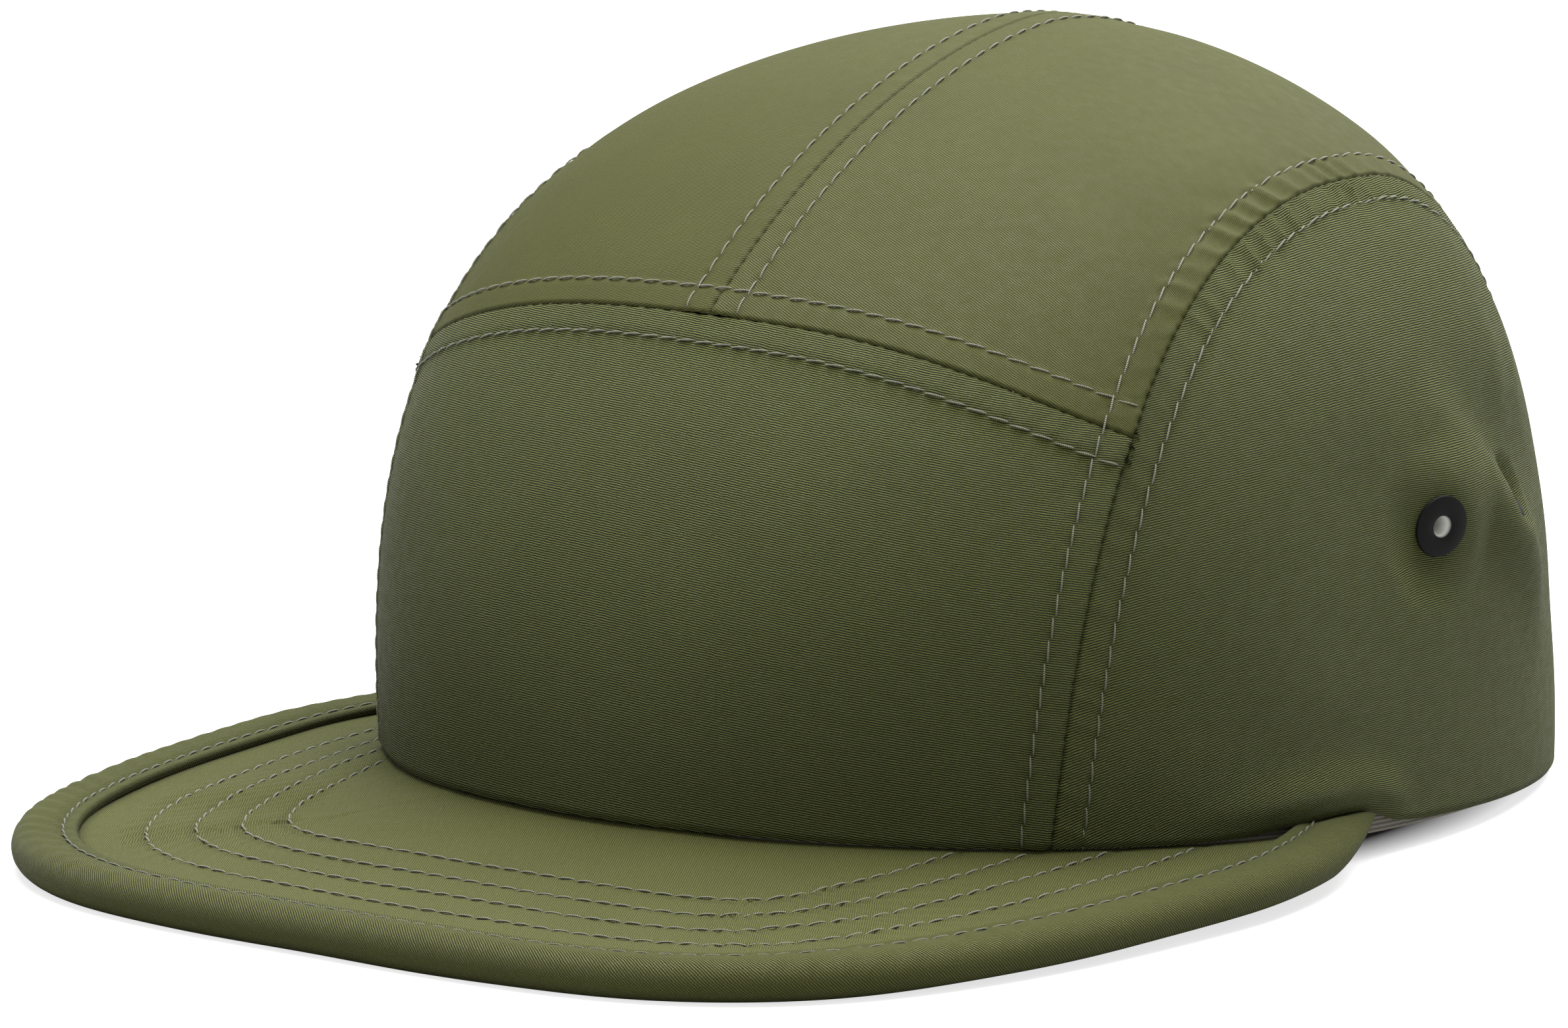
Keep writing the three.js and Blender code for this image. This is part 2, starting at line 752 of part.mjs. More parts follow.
const opening = openingCutter();
place('front_panel', frontPanel(), olive());
for (const [side, sign] of [['left', 1], ['right', -1]]) {
  place(`top_panel_${side}`, cut(topPanel(sign), opening), olive());
  let panel = sidePanel(sign);
  for (const seat of eyeletSeats(panel, sign)) {
    panel = cut(panel, eyeletHoleCutter(seat));
    const ring = place(`eyelet_${side}_${seat.name}`, eyelet(seat), blackMetal());
    ring.quaternion.setFromUnitVectors(Y, seat.normal);
    ring.position.copy(seat.point);
  }
  place(`side_panel_${side}`, panel, olive());
}
place('brim', brimBoard(), olive());
place('brim_binding', brimBinding(), olive());
place('sweatband', sweatband(opening), bandTwill());
place('back_strap', backStrap(), strapWeb());
place('strap_clasp', strapClasp(), blackPlastic());

// The origin is under the middle of the whole cap, on the surface that it rests on
const box = new THREE.Box3().setFromObject(cap, true);
const centre = box.getCenter(new THREE.Vector3());
cap.position.set(-centre.x, -centre.y, -box.min.z);

const part = new THREE.Group();
part.add(cap);

export default part;
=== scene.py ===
# A five panel cap of olive ribbed nylon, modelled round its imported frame. Metres.
# X runs to the wearer's left, -Y is the front and Z is up.
import math
from contextlib import contextmanager

import bpy
import numpy as np
from mathutils import Matrix, Vector
from mathutils.bvhtree import BVHTree
from mathutils.kdtree import KDTree


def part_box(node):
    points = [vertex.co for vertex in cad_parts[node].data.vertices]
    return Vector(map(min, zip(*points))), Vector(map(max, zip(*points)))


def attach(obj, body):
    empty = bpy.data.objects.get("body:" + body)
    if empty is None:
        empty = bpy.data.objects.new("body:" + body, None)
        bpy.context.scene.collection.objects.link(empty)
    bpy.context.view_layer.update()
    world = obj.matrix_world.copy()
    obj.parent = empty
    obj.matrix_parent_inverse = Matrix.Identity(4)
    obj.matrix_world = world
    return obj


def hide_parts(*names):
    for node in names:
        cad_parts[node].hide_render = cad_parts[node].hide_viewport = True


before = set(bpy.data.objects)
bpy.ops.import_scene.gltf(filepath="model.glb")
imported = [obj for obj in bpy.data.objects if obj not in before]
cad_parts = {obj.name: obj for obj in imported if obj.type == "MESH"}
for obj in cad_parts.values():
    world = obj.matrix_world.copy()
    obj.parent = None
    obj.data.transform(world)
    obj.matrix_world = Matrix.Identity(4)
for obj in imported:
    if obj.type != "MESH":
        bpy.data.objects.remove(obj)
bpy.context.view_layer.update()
MM = 0.001

# Crown
CROWN_LENGTH = 198 * MM
CROWN_WIDTH = 174.4 * MM
CROWN_HEIGHT = 118.4 * MM
HALF_LENGTH = CROWN_LENGTH / 2
HALF_WIDTH = CROWN_WIDTH / 2
FRONT_RISE, FRONT_ROUND = 2.3, 1.6
BACK_RISE, BACK_ROUND = 1.68, 2.06
SIDE_RISE, SIDE_ROUND = 4.3, 1.74
PLAN_POWER, PLAN_POWER_GAIN, PLAN_POWER_BEHIND = 2.19, 0.74, 2.15
TOP_SHIFT, TOP_SHIFT_RATE = 12.1 * MM, 2.86
CORE = np.array([0.0, 8.0, 35.5]) * MM
LEAN = math.radians(3.5548)

# Seams between the panels
FRONT_FOOT = 31.5 * MM
BACK_FOOT = 46 * MM
SEAM_TOP = CROWN_HEIGHT - 20.3 * MM
SEAM_PEAK = 15 * MM
CORNER_HEIGHT = 63 * MM
FRONT_SEAM_RISE, FRONT_SEAM_POWER = 13.1 * MM, 2.7
FRONT_ARCH = (2.25, 2.6)
BACK_ARCH = (2.1, 1.55)

# Brim and its padded binding
BRIM_REACH = 60 * MM
BRIM_BEYOND_SIDES = 11 * MM
BRIM_SET_BACK = 93.6 * MM
BRIM_SIDE, BRIM_FRONT = 0.533, 0.523
BRIM_NARROWING, BRIM_NARROW_FROM = 0.178, 39 * MM
RIM_DROP, RIM_SLOPE = 6.8 * MM, math.radians(4.6)
BRIM_CURVE = 1.5
BOARD = 3 * MM
BOARD_END = 73 * MM
BINDING_THICKNESS = 6.8 * MM
BINDING_WIDTH = 10.5 * MM
BINDING_LIP = 0.4 * MM
BINDING_GRIP = 3 * MM
BINDING_END = 85 * MM
TAIL_LENGTH, TAIL_THICKNESS, TAIL_RISE = 20 * MM, 1.3 * MM, 2.7 * MM

# Hem, sweatband, back opening and strap
HEM_LIFT, HEM_LIFT_AT = 3 * MM, 84 * MM
HEM_LIFT_FRONT, HEM_LIFT_BACK = 18 * MM, 8 * MM
HEM_EASE = 24 * MM
REST_FLAT = 1 * MM
CLOTH = 1.1 * MM
CAD_CLOTH = 1.6 * MM
CLEARANCE = 0.3 * MM
BAND_HEIGHT, BAND_THICKNESS = 30 * MM, 1.2 * MM
BAND_SHOW, BAND_SHOW_FULL, BAND_SHOW_END = 1.6 * MM, 75 * MM, 150 * MM
BAND_STITCH = 27 * MM
OPENING_WIDTH, OPENING_HEIGHT, OPENING_STRAIGHT = 72 * MM, 42 * MM, 8 * MM
ARCH_SHARE = 0.85
STRAP_HEIGHT, STRAP_THICKNESS = 20 * MM, 1.6 * MM
STRAP_ABOVE_HEM, STRAP_TUCK = 3.6 * MM, 18 * MM

# Eyelets: each is turned with the cloth's folds, by degrees towards the front and downwards, and sunk.
# The cloth round it is flat out to one distance and free from the other.
EYELETS = {
    "front": (17, 12, 0.0, 5.6 * MM, 15 * MM),
    "rear": (-17, -31, 1.3 * MM, 5.0 * MM, 7.4 * MM),
}
EYELET_FLANGE, EYELET_BORE, EYELET_BARREL = 10 * MM, 3 * MM, 4.6 * MM
EYELET_RIM, EYELET_GAP = 0.8 * MM, 0.06 * MM
HOLE_RADIUS = EYELET_BARREL / 2 + 1.1 * MM

# Stitching
TOPSTITCH = 5 * MM
STITCH_PITCH = 3.6 * MM
STITCH_LENGTH = 3.5 * MM
STITCH_HALF, STITCH_SPAN = STITCH_LENGTH / 2, STITCH_LENGTH / 2.4
LAY_FROM, LAY_REACH = 4 * MM, 9 * MM
THREAD = 0.33 * MM
CROWN_SKEW, BRIM_SKEW = math.radians(7), math.radians(6)
BINDING_STITCH = 4.5 * MM
BRIM_ROWS = [17.1 * MM, 24.6 * MM, 31.6 * MM, 38.6 * MM]
ROW_ROUNDING, ROW_START, ROW_END = 0.68, 0.6, -20 * MM
FLOAT_ABOVE = 3 * MM

# Relief and grain of the cloth. Rib and yarn spacings are in the UV map's millimetres
RIB_SAG = 4.5
SIDE_RIB_TILT, SIDE_RIB_STRETCH = 0.03, 0.93
SIDE_RIB_FAN, SIDE_RIB_FAN_TOP = 0.363, 65 * MM
SIDE_RIB_FAN_BACK, SIDE_RIB_FAN_REACH = 30 * MM, 156 * MM
FRONT_RIB_TILT, FRONT_RIB_SAG = 0.07, 0.87
RIB_SPACING, YARN_SPACING = 0.365, 0.27
TOP_RIB_TURN, BRIM_RIB_TURN, BINDING_RIB_TURN = math.radians(-24), math.radians(28.5), math.radians(45)
SEAM_DEPTH, SEAM_ROLL = 0.55 * MM, 0.3 * MM
SEAM_TICK = 2.2 * MM
GATHER_PITCH, GATHER_FADE = 4.9 * MM, 0.14
SIDE_GATHERS, TOP_GATHERS = (0.72 * MM, 0.27, 0.62), (0.5 * MM, 0.27, 0.6)
FRONT_PUCKER, FRONT_SEAM_PUCKER, TOP_PUCKER = 0.06 * MM, 0.13 * MM, 0.05 * MM
BAND_RAISE, BAND_EASE = 0.32 * MM, 1.1 * MM
EDGE_ROLL = 0.5 * MM
CREASE_SHADE_WIDTH, CALM_WIDTH = 0.4 * MM, 12 * MM
BRIM_RIPPLE, BRIM_RIPPLE_PITCH, BINDING_PUCKER_PITCH = 0.4 * MM, 5.4 * MM, 5.3 * MM
BRIM_CORNER, BRIM_CORNER_WIDTH = 88 * MM, 34 * MM
BINDING_CORNER, BINDING_CORNER_WIDTH = 95 * MM, 30 * MM
STITCH_DIP, STITCH_DIP_WIDTH = 0.3 * MM, 0.7 * MM
SEAM_GAP = 0.06 * MM

# Light and camera
FLOOR_GLOW = 0.72
WORLD_STRENGTH = 0.62
CAMERA_AZIMUTH = math.radians(38.584)
CAMERA_ELEVATION = math.radians(10.664)
CAMERA_ROLL = math.radians(-0.275)
CAMERA_DISTANCE = 1.99211
CAMERA_AIM = (-0.02794, -0.01322, 0.03767)
CAMERA_LENS = 284.24
SENSOR_WIDTH = 36.0

SIDES = {"left": 1, "right": -1}


# Crown surface, in the cap's own frame: its origin is in the middle of the hem

def signed_power(value, exponent):
    return np.sign(value) * np.abs(value) ** exponent


def bump(value):
    return np.exp(-value * value)


def smooth(value):
    share = np.clip(value, 0.0, 1.0)
    return share * share * (3 - 2 * share)


def unit(vectors):
    return vectors / np.linalg.norm(vectors, axis=-1, keepdims=True)


def plan_at(z):
    """The crown's reach in front, behind and sideways at a height, its shift and its power."""
    h = np.clip(z / CROWN_HEIGHT, 0.0, 1.0)
    front = HALF_LENGTH * (1 - h ** FRONT_RISE) ** (1 / FRONT_ROUND)
    back = HALF_LENGTH * (1 - h ** BACK_RISE) ** (1 / BACK_ROUND)
    side = HALF_WIDTH * (1 - h ** SIDE_RISE) ** (1 / SIDE_ROUND)
    return front, back, side, TOP_SHIFT * h ** TOP_SHIFT_RATE, PLAN_POWER + PLAN_POWER_GAIN * h


def is_inside(p):
    front, back, side, shift, power = plan_at(p[..., 2])
    along = p[..., 1] - shift
    is_front = along < 0
    reach = np.maximum(np.where(is_front, front, back), 1e-9)
    power = np.where(is_front, power, PLAN_POWER_BEHIND)
    share = np.abs(p[..., 0] / np.maximum(side, 1e-9)) ** power + np.abs(along / reach) ** power
    return (p[..., 2] < CROWN_HEIGHT) & (share < 1)


def way_out(origin, direction, near, far):
    """How far along a direction the crown's surface is, by halving."""
    near = np.full(direction.shape[:-1], near)
    far = np.full(direction.shape[:-1], far)
    for _ in range(32):
        middle = (near + far) / 2
        inside = is_inside(origin + direction * middle[..., None])
        near = np.where(inside, middle, near)
        far = np.where(inside, far, middle)
    return near


def on_crown(p):
    direction = unit(p - CORE)
    return CORE + direction * way_out(CORE, direction, 0.0, 2 * CROWN_LENGTH)[..., None]


def at_width(x, z, side):
    front, back, half_width, shift, power = plan_at(z)
    reach, power = (front, power) if side < 0 else (back, PLAN_POWER_BEHIND)
    share = np.maximum(1 - np.abs(x / half_width) ** power, 0) ** (1 / power)
    return np.stack([x, shift + side * reach * share, z], -1)


def at_length(y, z, sign):
    front, back, half_width, shift, power = plan_at(z)
    along = y - shift
    reach = np.where(along < 0, front, back)
    power = np.where(along < 0, power, PLAN_POWER_BEHIND)
    share = np.maximum(1 - np.abs(along / reach) ** power, 0) ** (1 / power)
    return np.stack([sign * half_width * share, y, z], -1)


def rim_height(y):
    return (y + HALF_LENGTH) * math.tan(RIM_SLOPE) - RIM_DROP


TIP_Y = -HALF_LENGTH - BRIM_REACH
TIP_Z = rim_height(TIP_Y) - BINDING_THICKNESS / 2


def rest_line(y):
    return TIP_Z + (y - TIP_Y) * (REST_FLAT - TIP_Z) / (HALF_LENGTH - TIP_Y)


def hem_line(y):
    past = y + HALF_LENGTH - HEM_LIFT_AT
    lift = HEM_LIFT * bump(past / np.where(past < 0, HEM_LIFT_FRONT, HEM_LIFT_BACK))
    return np.maximum(lift, rest_line(y))


def band_line(y):
    share = smooth((y + HALF_LENGTH - BAND_SHOW_FULL) / (BAND_SHOW_END - BAND_SHOW_FULL))
    return np.maximum(-BAND_SHOW * (1 - share), rest_line(y))


def hem_point(angle):
    angle = np.asarray(angle, dtype=float)
    power = np.where(np.sin(angle) < 0, PLAN_POWER, PLAN_POWER_BEHIND)
    x = HALF_WIDTH * signed_power(np.cos(angle), 2 / power)
    return np.stack([x, HALF_LENGTH * signed_power(np.sin(angle), 2 / power), 0 * x], -1)


def hem_angle_behind(x):
    return float(np.arccos(signed_power(x / HALF_WIDTH, PLAN_POWER_BEHIND / 2)))


# Seams

def lengths_along(points):
    """The length along a row of points up to each one."""
    return np.append(0, np.cumsum(np.linalg.norm(np.diff(points, axis=0), axis=1)))


def at_lengths(wanted, lengths, points):
    return np.stack([np.interp(wanted, lengths, points[:, k]) for k in range(3)], -1)


def evenly(curve, start, end, shares):
    """Points of a curve at shares of its length."""
    points = curve(np.linspace(start, end, 1500))
    lengths = lengths_along(points)
    return at_lengths(np.asarray(shares) * lengths[-1], lengths, points)


def spaced(count, crowding=0.6):
    """Shares from 0 to 1 that crowd towards both ends."""
    even = np.linspace(0, 1, count + 1)
    return (1 - crowding) * even + crowding * (0.5 - 0.5 * np.cos(np.pi * even))


FRONT_FOOT_Y = -HALF_LENGTH + FRONT_FOOT
FRONT_FOOT_ANGLE = math.asin(float(signed_power(FRONT_FOOT_Y / HALF_LENGTH, PLAN_POWER / 2)))
OPENING_ANGLE = hem_angle_behind(OPENING_WIDTH / 2)
BACK_FOOT_ANGLE = hem_angle_behind(BACK_FOOT)
BACK_FOOT_Y = float(hem_point(BACK_FOOT_ANGLE)[1])


def side_seam(turn, sign):
    is_front = turn < np.pi / 2
    along = np.where(is_front, FRONT_ARCH[0], BACK_ARCH[0])
    up = np.where(is_front, FRONT_ARCH[1], BACK_ARCH[1])
    foot = np.where(is_front, FRONT_FOOT_Y, BACK_FOOT_Y)
    y = SEAM_PEAK + (foot - SEAM_PEAK) * np.abs(np.cos(turn)) ** (2 / along)
    return at_length(y, SEAM_TOP * np.maximum(np.sin(turn), 0) ** (2 / up), sign)


def side_line(sign, start, end, shares):
    return evenly(lambda turn: side_seam(turn, sign), start, end, shares)


def turn_at_height(up):
    return math.asin((CORNER_HEIGHT / SEAM_TOP) ** (up / 2))


FRONT_CORNER_TURN = turn_at_height(FRONT_ARCH[1])
BACK_CORNER_TURN = math.pi - turn_at_height(BACK_ARCH[1])
CORNER_X = float(side_seam(np.array([FRONT_CORNER_TURN]), 1)[0, 0])


def front_seam(x):
    drop = np.abs(x / CORNER_X) ** FRONT_SEAM_POWER
    return at_width(x, CORNER_HEIGHT + FRONT_SEAM_RISE * (1 - drop), -1)


def arch(turn):
    """The edge of the back opening: its turn goes from 0 at the top to 1 at the hem."""
    rise = OPENING_HEIGHT - OPENING_STRAIGHT
    quarter = np.minimum(turn / ARCH_SHARE, 1) * np.pi / 2
    down = np.maximum(turn - ARCH_SHARE, 0) / (1 - ARCH_SHARE)
    x = OPENING_WIDTH / 2 * np.sin(quarter)
    return at_width(x, OPENING_STRAIGHT * (1 - down) + rise * np.cos(quarter), 1)


def centre_line(angle):
    flat = np.stack([0 * angle, np.cos(angle), np.sin(angle)], -1)
    return on_crown(CORE + flat * MM)


def sagittal(p):
    return np.arctan2(p[..., 2] - CORE[2], p[..., 1] - CORE[1])


# Grids of points

def patch(bottom, top, left, right):
    """A grid between four edges that meet at their corners, laid onto the crown."""
    u = lengths_along(bottom)
    u = (u / u[-1])[None, :, None]
    v = lengths_along(left)
    v = (v / v[-1])[:, None, None]
    grid = bottom[None] * (1 - v) + top[None] * v + left[:, None] * (1 - u) + right[:, None] * u
    grid -= bottom[0] * (1 - u) * (1 - v) + bottom[-1] * u * (1 - v)
    grid -= top[0] * (1 - u) * v + top[-1] * u * v
    return on_crown(grid)


def grid_normals(grid):
    """Normals out of the crown. Where a cell is squeezed flat, the way from the core stands in."""
    normals = np.cross(unit(np.gradient(grid, axis=1)), unit(np.gradient(grid, axis=0)))
    squareness = np.linalg.norm(normals, axis=-1, keepdims=True)
    normals = normals / np.maximum(squareness, 1e-9)
    outward = unit(grid - CORE)
    normals = normals * np.where(np.mean(np.sum(normals * outward, -1)) < 0, -1, 1)
    share = smooth(squareness / 0.3)
    return unit(normals * share + outward * (1 - share))


def run_lengths(grid, axis):
    """The length along each line of a grid up to each point."""
    steps = np.linalg.norm(np.diff(grid, axis=axis), axis=-1)
    pad = [(0, 0), (0, 0)]
    pad[axis] = (1, 0)
    return np.cumsum(np.pad(steps, pad), axis=axis)


def profile_length(z, reach):
    """The length of the crown's profile from the hem up to a height."""
    levels = CROWN_HEIGHT * np.sin(np.linspace(0, np.pi / 2, 400))
    return np.interp(z, levels, lengths_along(np.stack([reach(levels), levels], -1)))


def turned(across, up, angle):
    """A UV map whose ribs are turned by an angle from the across direction."""
    c, s = math.cos(angle), math.sin(angle)
    return np.stack([across * c - up * s, across * s + up * c], -1)


class Line:
    """A seam or stitch line: tells how far a point is from it, and how far along."""

    def __init__(self, points):
        self.points = points
        self.lengths = lengths_along(points)
        self.tree = KDTree(len(points))
        for i, p in enumerate(points):
            self.tree.insert(p, i)
        self.tree.balance()

    def near(self, grid):
        found = [self.tree.find(p) for p in grid.reshape(-1, 3)]
        away = np.array([f[2] for f in found]).reshape(grid.shape[:-1])
        along = self.lengths[[f[1] for f in found]].reshape(grid.shape[:-1])
        return away, along


FINE = np.linspace(0, 1, 1400)
SIDE_SEAMS = {sign: Line(side_line(sign, 0, math.pi, FINE)) for sign in (1, -1)}
FRONT_SEAM = Line(evenly(front_seam, -CORNER_X, CORNER_X, FINE))
CENTRE_FROM = float(sagittal(front_seam(np.array([0.0]))[0]))
CENTRE_TO = float(sagittal(arch(np.array([0.0]))[0]))
CENTRE_SEAM = Line(evenly(centre_line, CENTRE_FROM, CENTRE_TO, FINE))
GRAIN_LINE = Line(evenly(centre_line, -0.4, math.pi - 0.05, FINE))
ARCH_EDGES = {sign: Line(evenly(arch, 0, 1, FINE) * [sign, 1, 1]) for sign in (1, -1)}


def waver(s, *lengths):
    """An uneven wave along a line, from a few plain waves."""
    waves = [np.sin(2 * np.pi * s / length + 1.7 * k) for k, length in enumerate(lengths)]
    return sum(waves) / len(waves)


def sewn_relief(away, along, gather, gather_from=0.0, gather_to=1.0, length=1.0):
    """How far cloth stands out next to a seam with a topstitch beside it."""
    beyond = away - TOPSTITCH
    tug = np.cos(2 * np.pi * along / STITCH_PITCH)
    tick = np.cos(2 * np.pi * along / SEAM_TICK)
    height = -SEAM_DEPTH * (0.66 + 0.34 * tick) * bump(away / SEAM_ROLL)
    height += BAND_RAISE * smooth(1 - beyond / BAND_EASE)
    height -= STITCH_DIP * (0.62 + 0.38 * tug) * bump(beyond / STITCH_DIP_WIDTH)
    height -= 0.03 * MM * tug * bump((away - 0.9 * MM) / (0.9 * MM))
    share = along / length
    where = smooth((share - gather_from) / GATHER_FADE) * smooth((gather_to - share) / GATHER_FADE)
    slant = along + 0.3 * away + 1.3 * MM * waver(along, 23 * MM, 37 * MM)
    strength = (0.65 + 0.35 * waver(along, 17 * MM, 29 * MM)) * (0.12 + 0.88 * where)
    waves = 1 - 2 * np.abs(np.sin(np.pi * slant / GATHER_PITCH))
    between = smooth(away / (1.0 * MM)) * smooth((0.9 * MM - beyond) / (1.4 * MM))
    height += gather * waves * between * strength
    trailing = smooth(beyond / (0.8 * MM)) * bump(beyond / (4.5 * MM))
    return height + 0.35 * gather * np.sin(np.pi * slant / GATHER_PITCH) * trailing * strength


def edge_relief(away):
    """The folded edge of the back opening, with its stitch line."""
    beyond = away - TOPSTITCH
    height = 0.3 * MM * smooth(1 - beyond / BAND_EASE) - EDGE_ROLL * bump(away / EDGE_ROLL)
    return height - STITCH_DIP * bump(beyond / STITCH_DIP_WIDTH)


# Soft folds in the side panels: each has a width, and points in millimetres along and up from the
# middle of the hem with the fold's height there
FOLDS = [
    (5.4, [(9, 62, 0.9), (13, 57.5, 2.0), (19, 52, 2.9), (26.5, 45, 3.5),
           (33, 41, 3.0), (39, 36, 1.8), (44, 26, 0.5)]),
    (8.0, [(12, 71, -0.5), (19, 65, -1.4), (28, 60, -2.0), (37, 56, -1.6), (46, 49, -0.6)]),
    (13.0, [(-16, 34, -0.9), (-13, 50, -1.1)]),
    (3.2, [(30, 80, 0.1), (33, 70, 0.4), (35, 60, 0.2)]),
    (2.8, [(42, 78, 0.1), (43, 67, 0.32), (44, 56, 0.1)]),
    (9.0, [(-60, 22, -0.1), (-40, 17, -0.35), (-20, 12, -0.3)]),
    (10.0, [(20, 22, -0.3), (60, 26, -0.3)]),
]


def fold_relief(grid):
    height = np.zeros(grid.shape[:-1])
    here = grid[..., 1:3]
    for width, path in FOLDS:
        away = np.full(grid.shape[:-1], 1.0)
        crest = np.zeros(grid.shape[:-1])
        path = np.array(path) * MM
        for start, end in zip(path[:-1], path[1:]):
            run = end[:2] - start[:2]
            share = np.clip(((here - start[:2]) @ run) / (run @ run), 0, 1)
            distance = np.linalg.norm(here - start[:2] - share[..., None] * run, axis=-1)
            crest = np.where(distance < away, start[2] + share * (end[2] - start[2]), crest)
            away = np.minimum(away, distance)
        height += crest * bump(away / (width * MM))
    return height


def hem_shape(grid, normals):
    """Lifts the hem where the brim's ends pass under it, bulges it there and rolls its edge in."""
    lifted = grid.copy()
    y = grid[..., 1]
    line = hem_line(y)
    lifted[..., 2] += line * np.clip(1 - grid[..., 2] / HEM_EASE, 0, 1) ** 2
    above = np.maximum(lifted[..., 2] - line, 0)
    over_brim = smooth((y + 52 * MM) / (30 * MM)) * smooth((1 * MM - y) / (11 * MM))
    over_tail = smooth((y + 34 * MM) / (14 * MM)) * smooth((-5 * MM - y) / (8 * MM))
    out = 1.7 * MM * over_brim * bump((above - 4.2 * MM) / (3.4 * MM))
    out += 0.9 * MM * over_tail * bump(above / (3 * MM)) - EDGE_ROLL * bump(above / EDGE_ROLL)
    return lifted + unit(normals * [1, 1, 0.3]) * out[..., None]


def leant(vectors):
    """Vectors of the cap's own frame, leant back until brim and hem rest."""
    c, s = math.cos(LEAN), math.sin(LEAN)
    return vectors @ np.array([[1, 0, 0], [0, c, -s], [0, s, c]])


def to_row(points):
    """From the cap's own frame to the row's."""
    return leant(points) + CAP_ORIGIN


# The brim's tip and the crown's top say where the frame holds the cap
TIP_OUT = leant(np.array([0.0, TIP_Y - BINDING_THICKNESS / 2, rim_height(TIP_Y)]))
TOP_OUT = leant(centre_line(np.linspace(0.8, 2.2, 400)))
CAP_ORIGIN = np.array([0.0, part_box("brim_binding")[0][1] - TIP_OUT[1],
                       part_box("top_panel_left")[1][2] - TOP_OUT[:, 2].max()])


# Making meshes

def deselect():
    bpy.ops.object.select_all(action="DESELECT")


def select_only(piece):
    deselect()
    piece.select_set(True)
    bpy.context.view_layer.objects.active = piece


@contextmanager
def editing(piece):
    """Edit mode on one piece, with all of it selected."""
    select_only(piece)
    bpy.ops.object.mode_set(mode="EDIT")
    bpy.ops.mesh.select_all(action="SELECT")
    yield
    bpy.ops.object.mode_set(mode="OBJECT")


def merge(distance):
    """In edit mode: joins the points of what is selected and turns all normals one way."""
    bpy.ops.mesh.remove_doubles(threshold=distance)
    bpy.ops.mesh.normals_make_consistent(inside=False)


def finish_modifier(piece, kind, **settings):
    modifier = piece.modifiers.new(kind.title(), kind)
    for key, value in settings.items():
        setattr(modifier, key, value)
    select_only(piece)
    bpy.ops.object.modifier_apply(modifier=modifier.name)


def put_uv(mesh, uv):
    """Writes a UV map, given by points, onto a mesh's corners."""
    corner = np.empty(len(mesh.loops), dtype=np.int32)
    mesh.loops.foreach_get("vertex_index", corner)
    layer = mesh.uv_layers.active or mesh.uv_layers.new(name="UVMap")
    layer.uv.foreach_set("vector", uv[corner].ravel())


def grid_mesh(name, points, uv, crease_shade):
    """A grid primitive with its points moved into place, its UV map in millimetres."""
    rows, columns = points.shape[:2]
    deselect()
    bpy.ops.mesh.primitive_grid_add(x_subdivisions=columns - 1, y_subdivisions=rows - 1, size=1)
    piece = bpy.context.object
    piece.name = name
    mesh = piece.data
    mesh.name = name
    flat = np.empty(len(mesh.vertices) * 3)
    mesh.vertices.foreach_get("co", flat)
    flat = flat.reshape(-1, 3) + 0.5
    i = np.rint(flat[:, 0] * (columns - 1)).astype(int)
    j = np.rint(flat[:, 1] * (rows - 1)).astype(int)
    mesh.vertices.foreach_set("co", points[j, i].ravel())
    put_uv(mesh, uv[j, i] / MM)
    # The crease mask, stored on the points, paints shade into seams, grooves and stitch lines.
    mesh.attributes.new("crease_shade", "FLOAT", "POINT").data.foreach_set("value", crease_shade[j, i])
    mesh.update()
    return piece


def face_outward(piece, centre):
    """Turns an open surface's faces so that they look away from a point."""
    mesh = piece.data
    normals, centres = np.empty((2, len(mesh.polygons) * 3))
    mesh.polygons.foreach_get("normal", normals)
    mesh.polygons.foreach_get("center", centres)
    if (normals.reshape(-1, 3) * (centres.reshape(-1, 3) - centre)).sum() < 0:
        mesh.flip_normals()


def shade_smooth(piece, degrees=50):
    select_only(piece)
    bpy.ops.object.shade_smooth_by_angle(angle=math.radians(degrees))


def wear(piece, material, slot, *nodes):
    """Gives a piece its material and the nodes that it stands for. The slot is not used."""
    piece.data.materials.clear()
    piece.data.materials.append(material)
    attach(piece, "root")
    if nodes:
        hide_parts(*nodes)


# Panels

def draw_back(grid, *edges):
    """Draws sewn edges of a grid back from their seams by half a gap."""
    across = grid.transpose(1, 0, 2)
    lines = {"left": across, "right": across[::-1], "bottom": grid, "top": grid[::-1]}
    for name in edges:
        edge, inner = lines[name][:2]
        edge += unit(inner - edge) * SEAM_GAP / 2


def panel(name, grid, uv, height, seams, seats=()):
    """A panel of cloth: raised by its relief, hemmed, flattened at eyelets and opened under them."""
    normals = grid_normals(grid)
    # Painted shade: the crease mask darkens each seam's groove, most at its stitch pits, and each
    # topstitch line.
    crease_shade = np.zeros(height.shape)
    calm = np.ones(height.shape)
    for away, along in seams:
        tick = 0.75 + 0.25 * np.cos(2 * np.pi * along / SEAM_TICK)
        crease_shade = np.maximum(crease_shade, tick * bump(away / CREASE_SHADE_WIDTH))
        crease_shade = np.maximum(crease_shade, 0.3 * bump((away - TOPSTITCH) / (0.6 * MM)))
        calm *= smooth((away - TOPSTITCH) / CALM_WIDTH)
    drape = 0.25 * MM * waver(grid[..., 1] + 0.4 * grid[..., 2], 61 * MM, 97 * MM)
    drape += 0.2 * MM * waver(grid[..., 0] - 0.5 * grid[..., 2], 53 * MM, 83 * MM)
    points = to_row(hem_shape(grid + normals * (height + drape * calm)[..., None], normals))
    for seat in seats:
        reach = np.linalg.norm(points - seat["middle"], axis=-1)
        over = (points - seat["face"]) @ seat["axis"]
        pressed = smooth((seat["free"] - reach) / (seat["free"] - seat["flat"]))
        points = points - seat["axis"] * (over * pressed)[..., None]
    piece = grid_mesh(name, points, uv, crease_shade)
    with editing(piece):
        merge(0.1 * MM)
    face_outward(piece, to_row(CORE))
    if seats:
        punch(piece, [Vector(seat["middle"]) for seat in seats])
    return piece


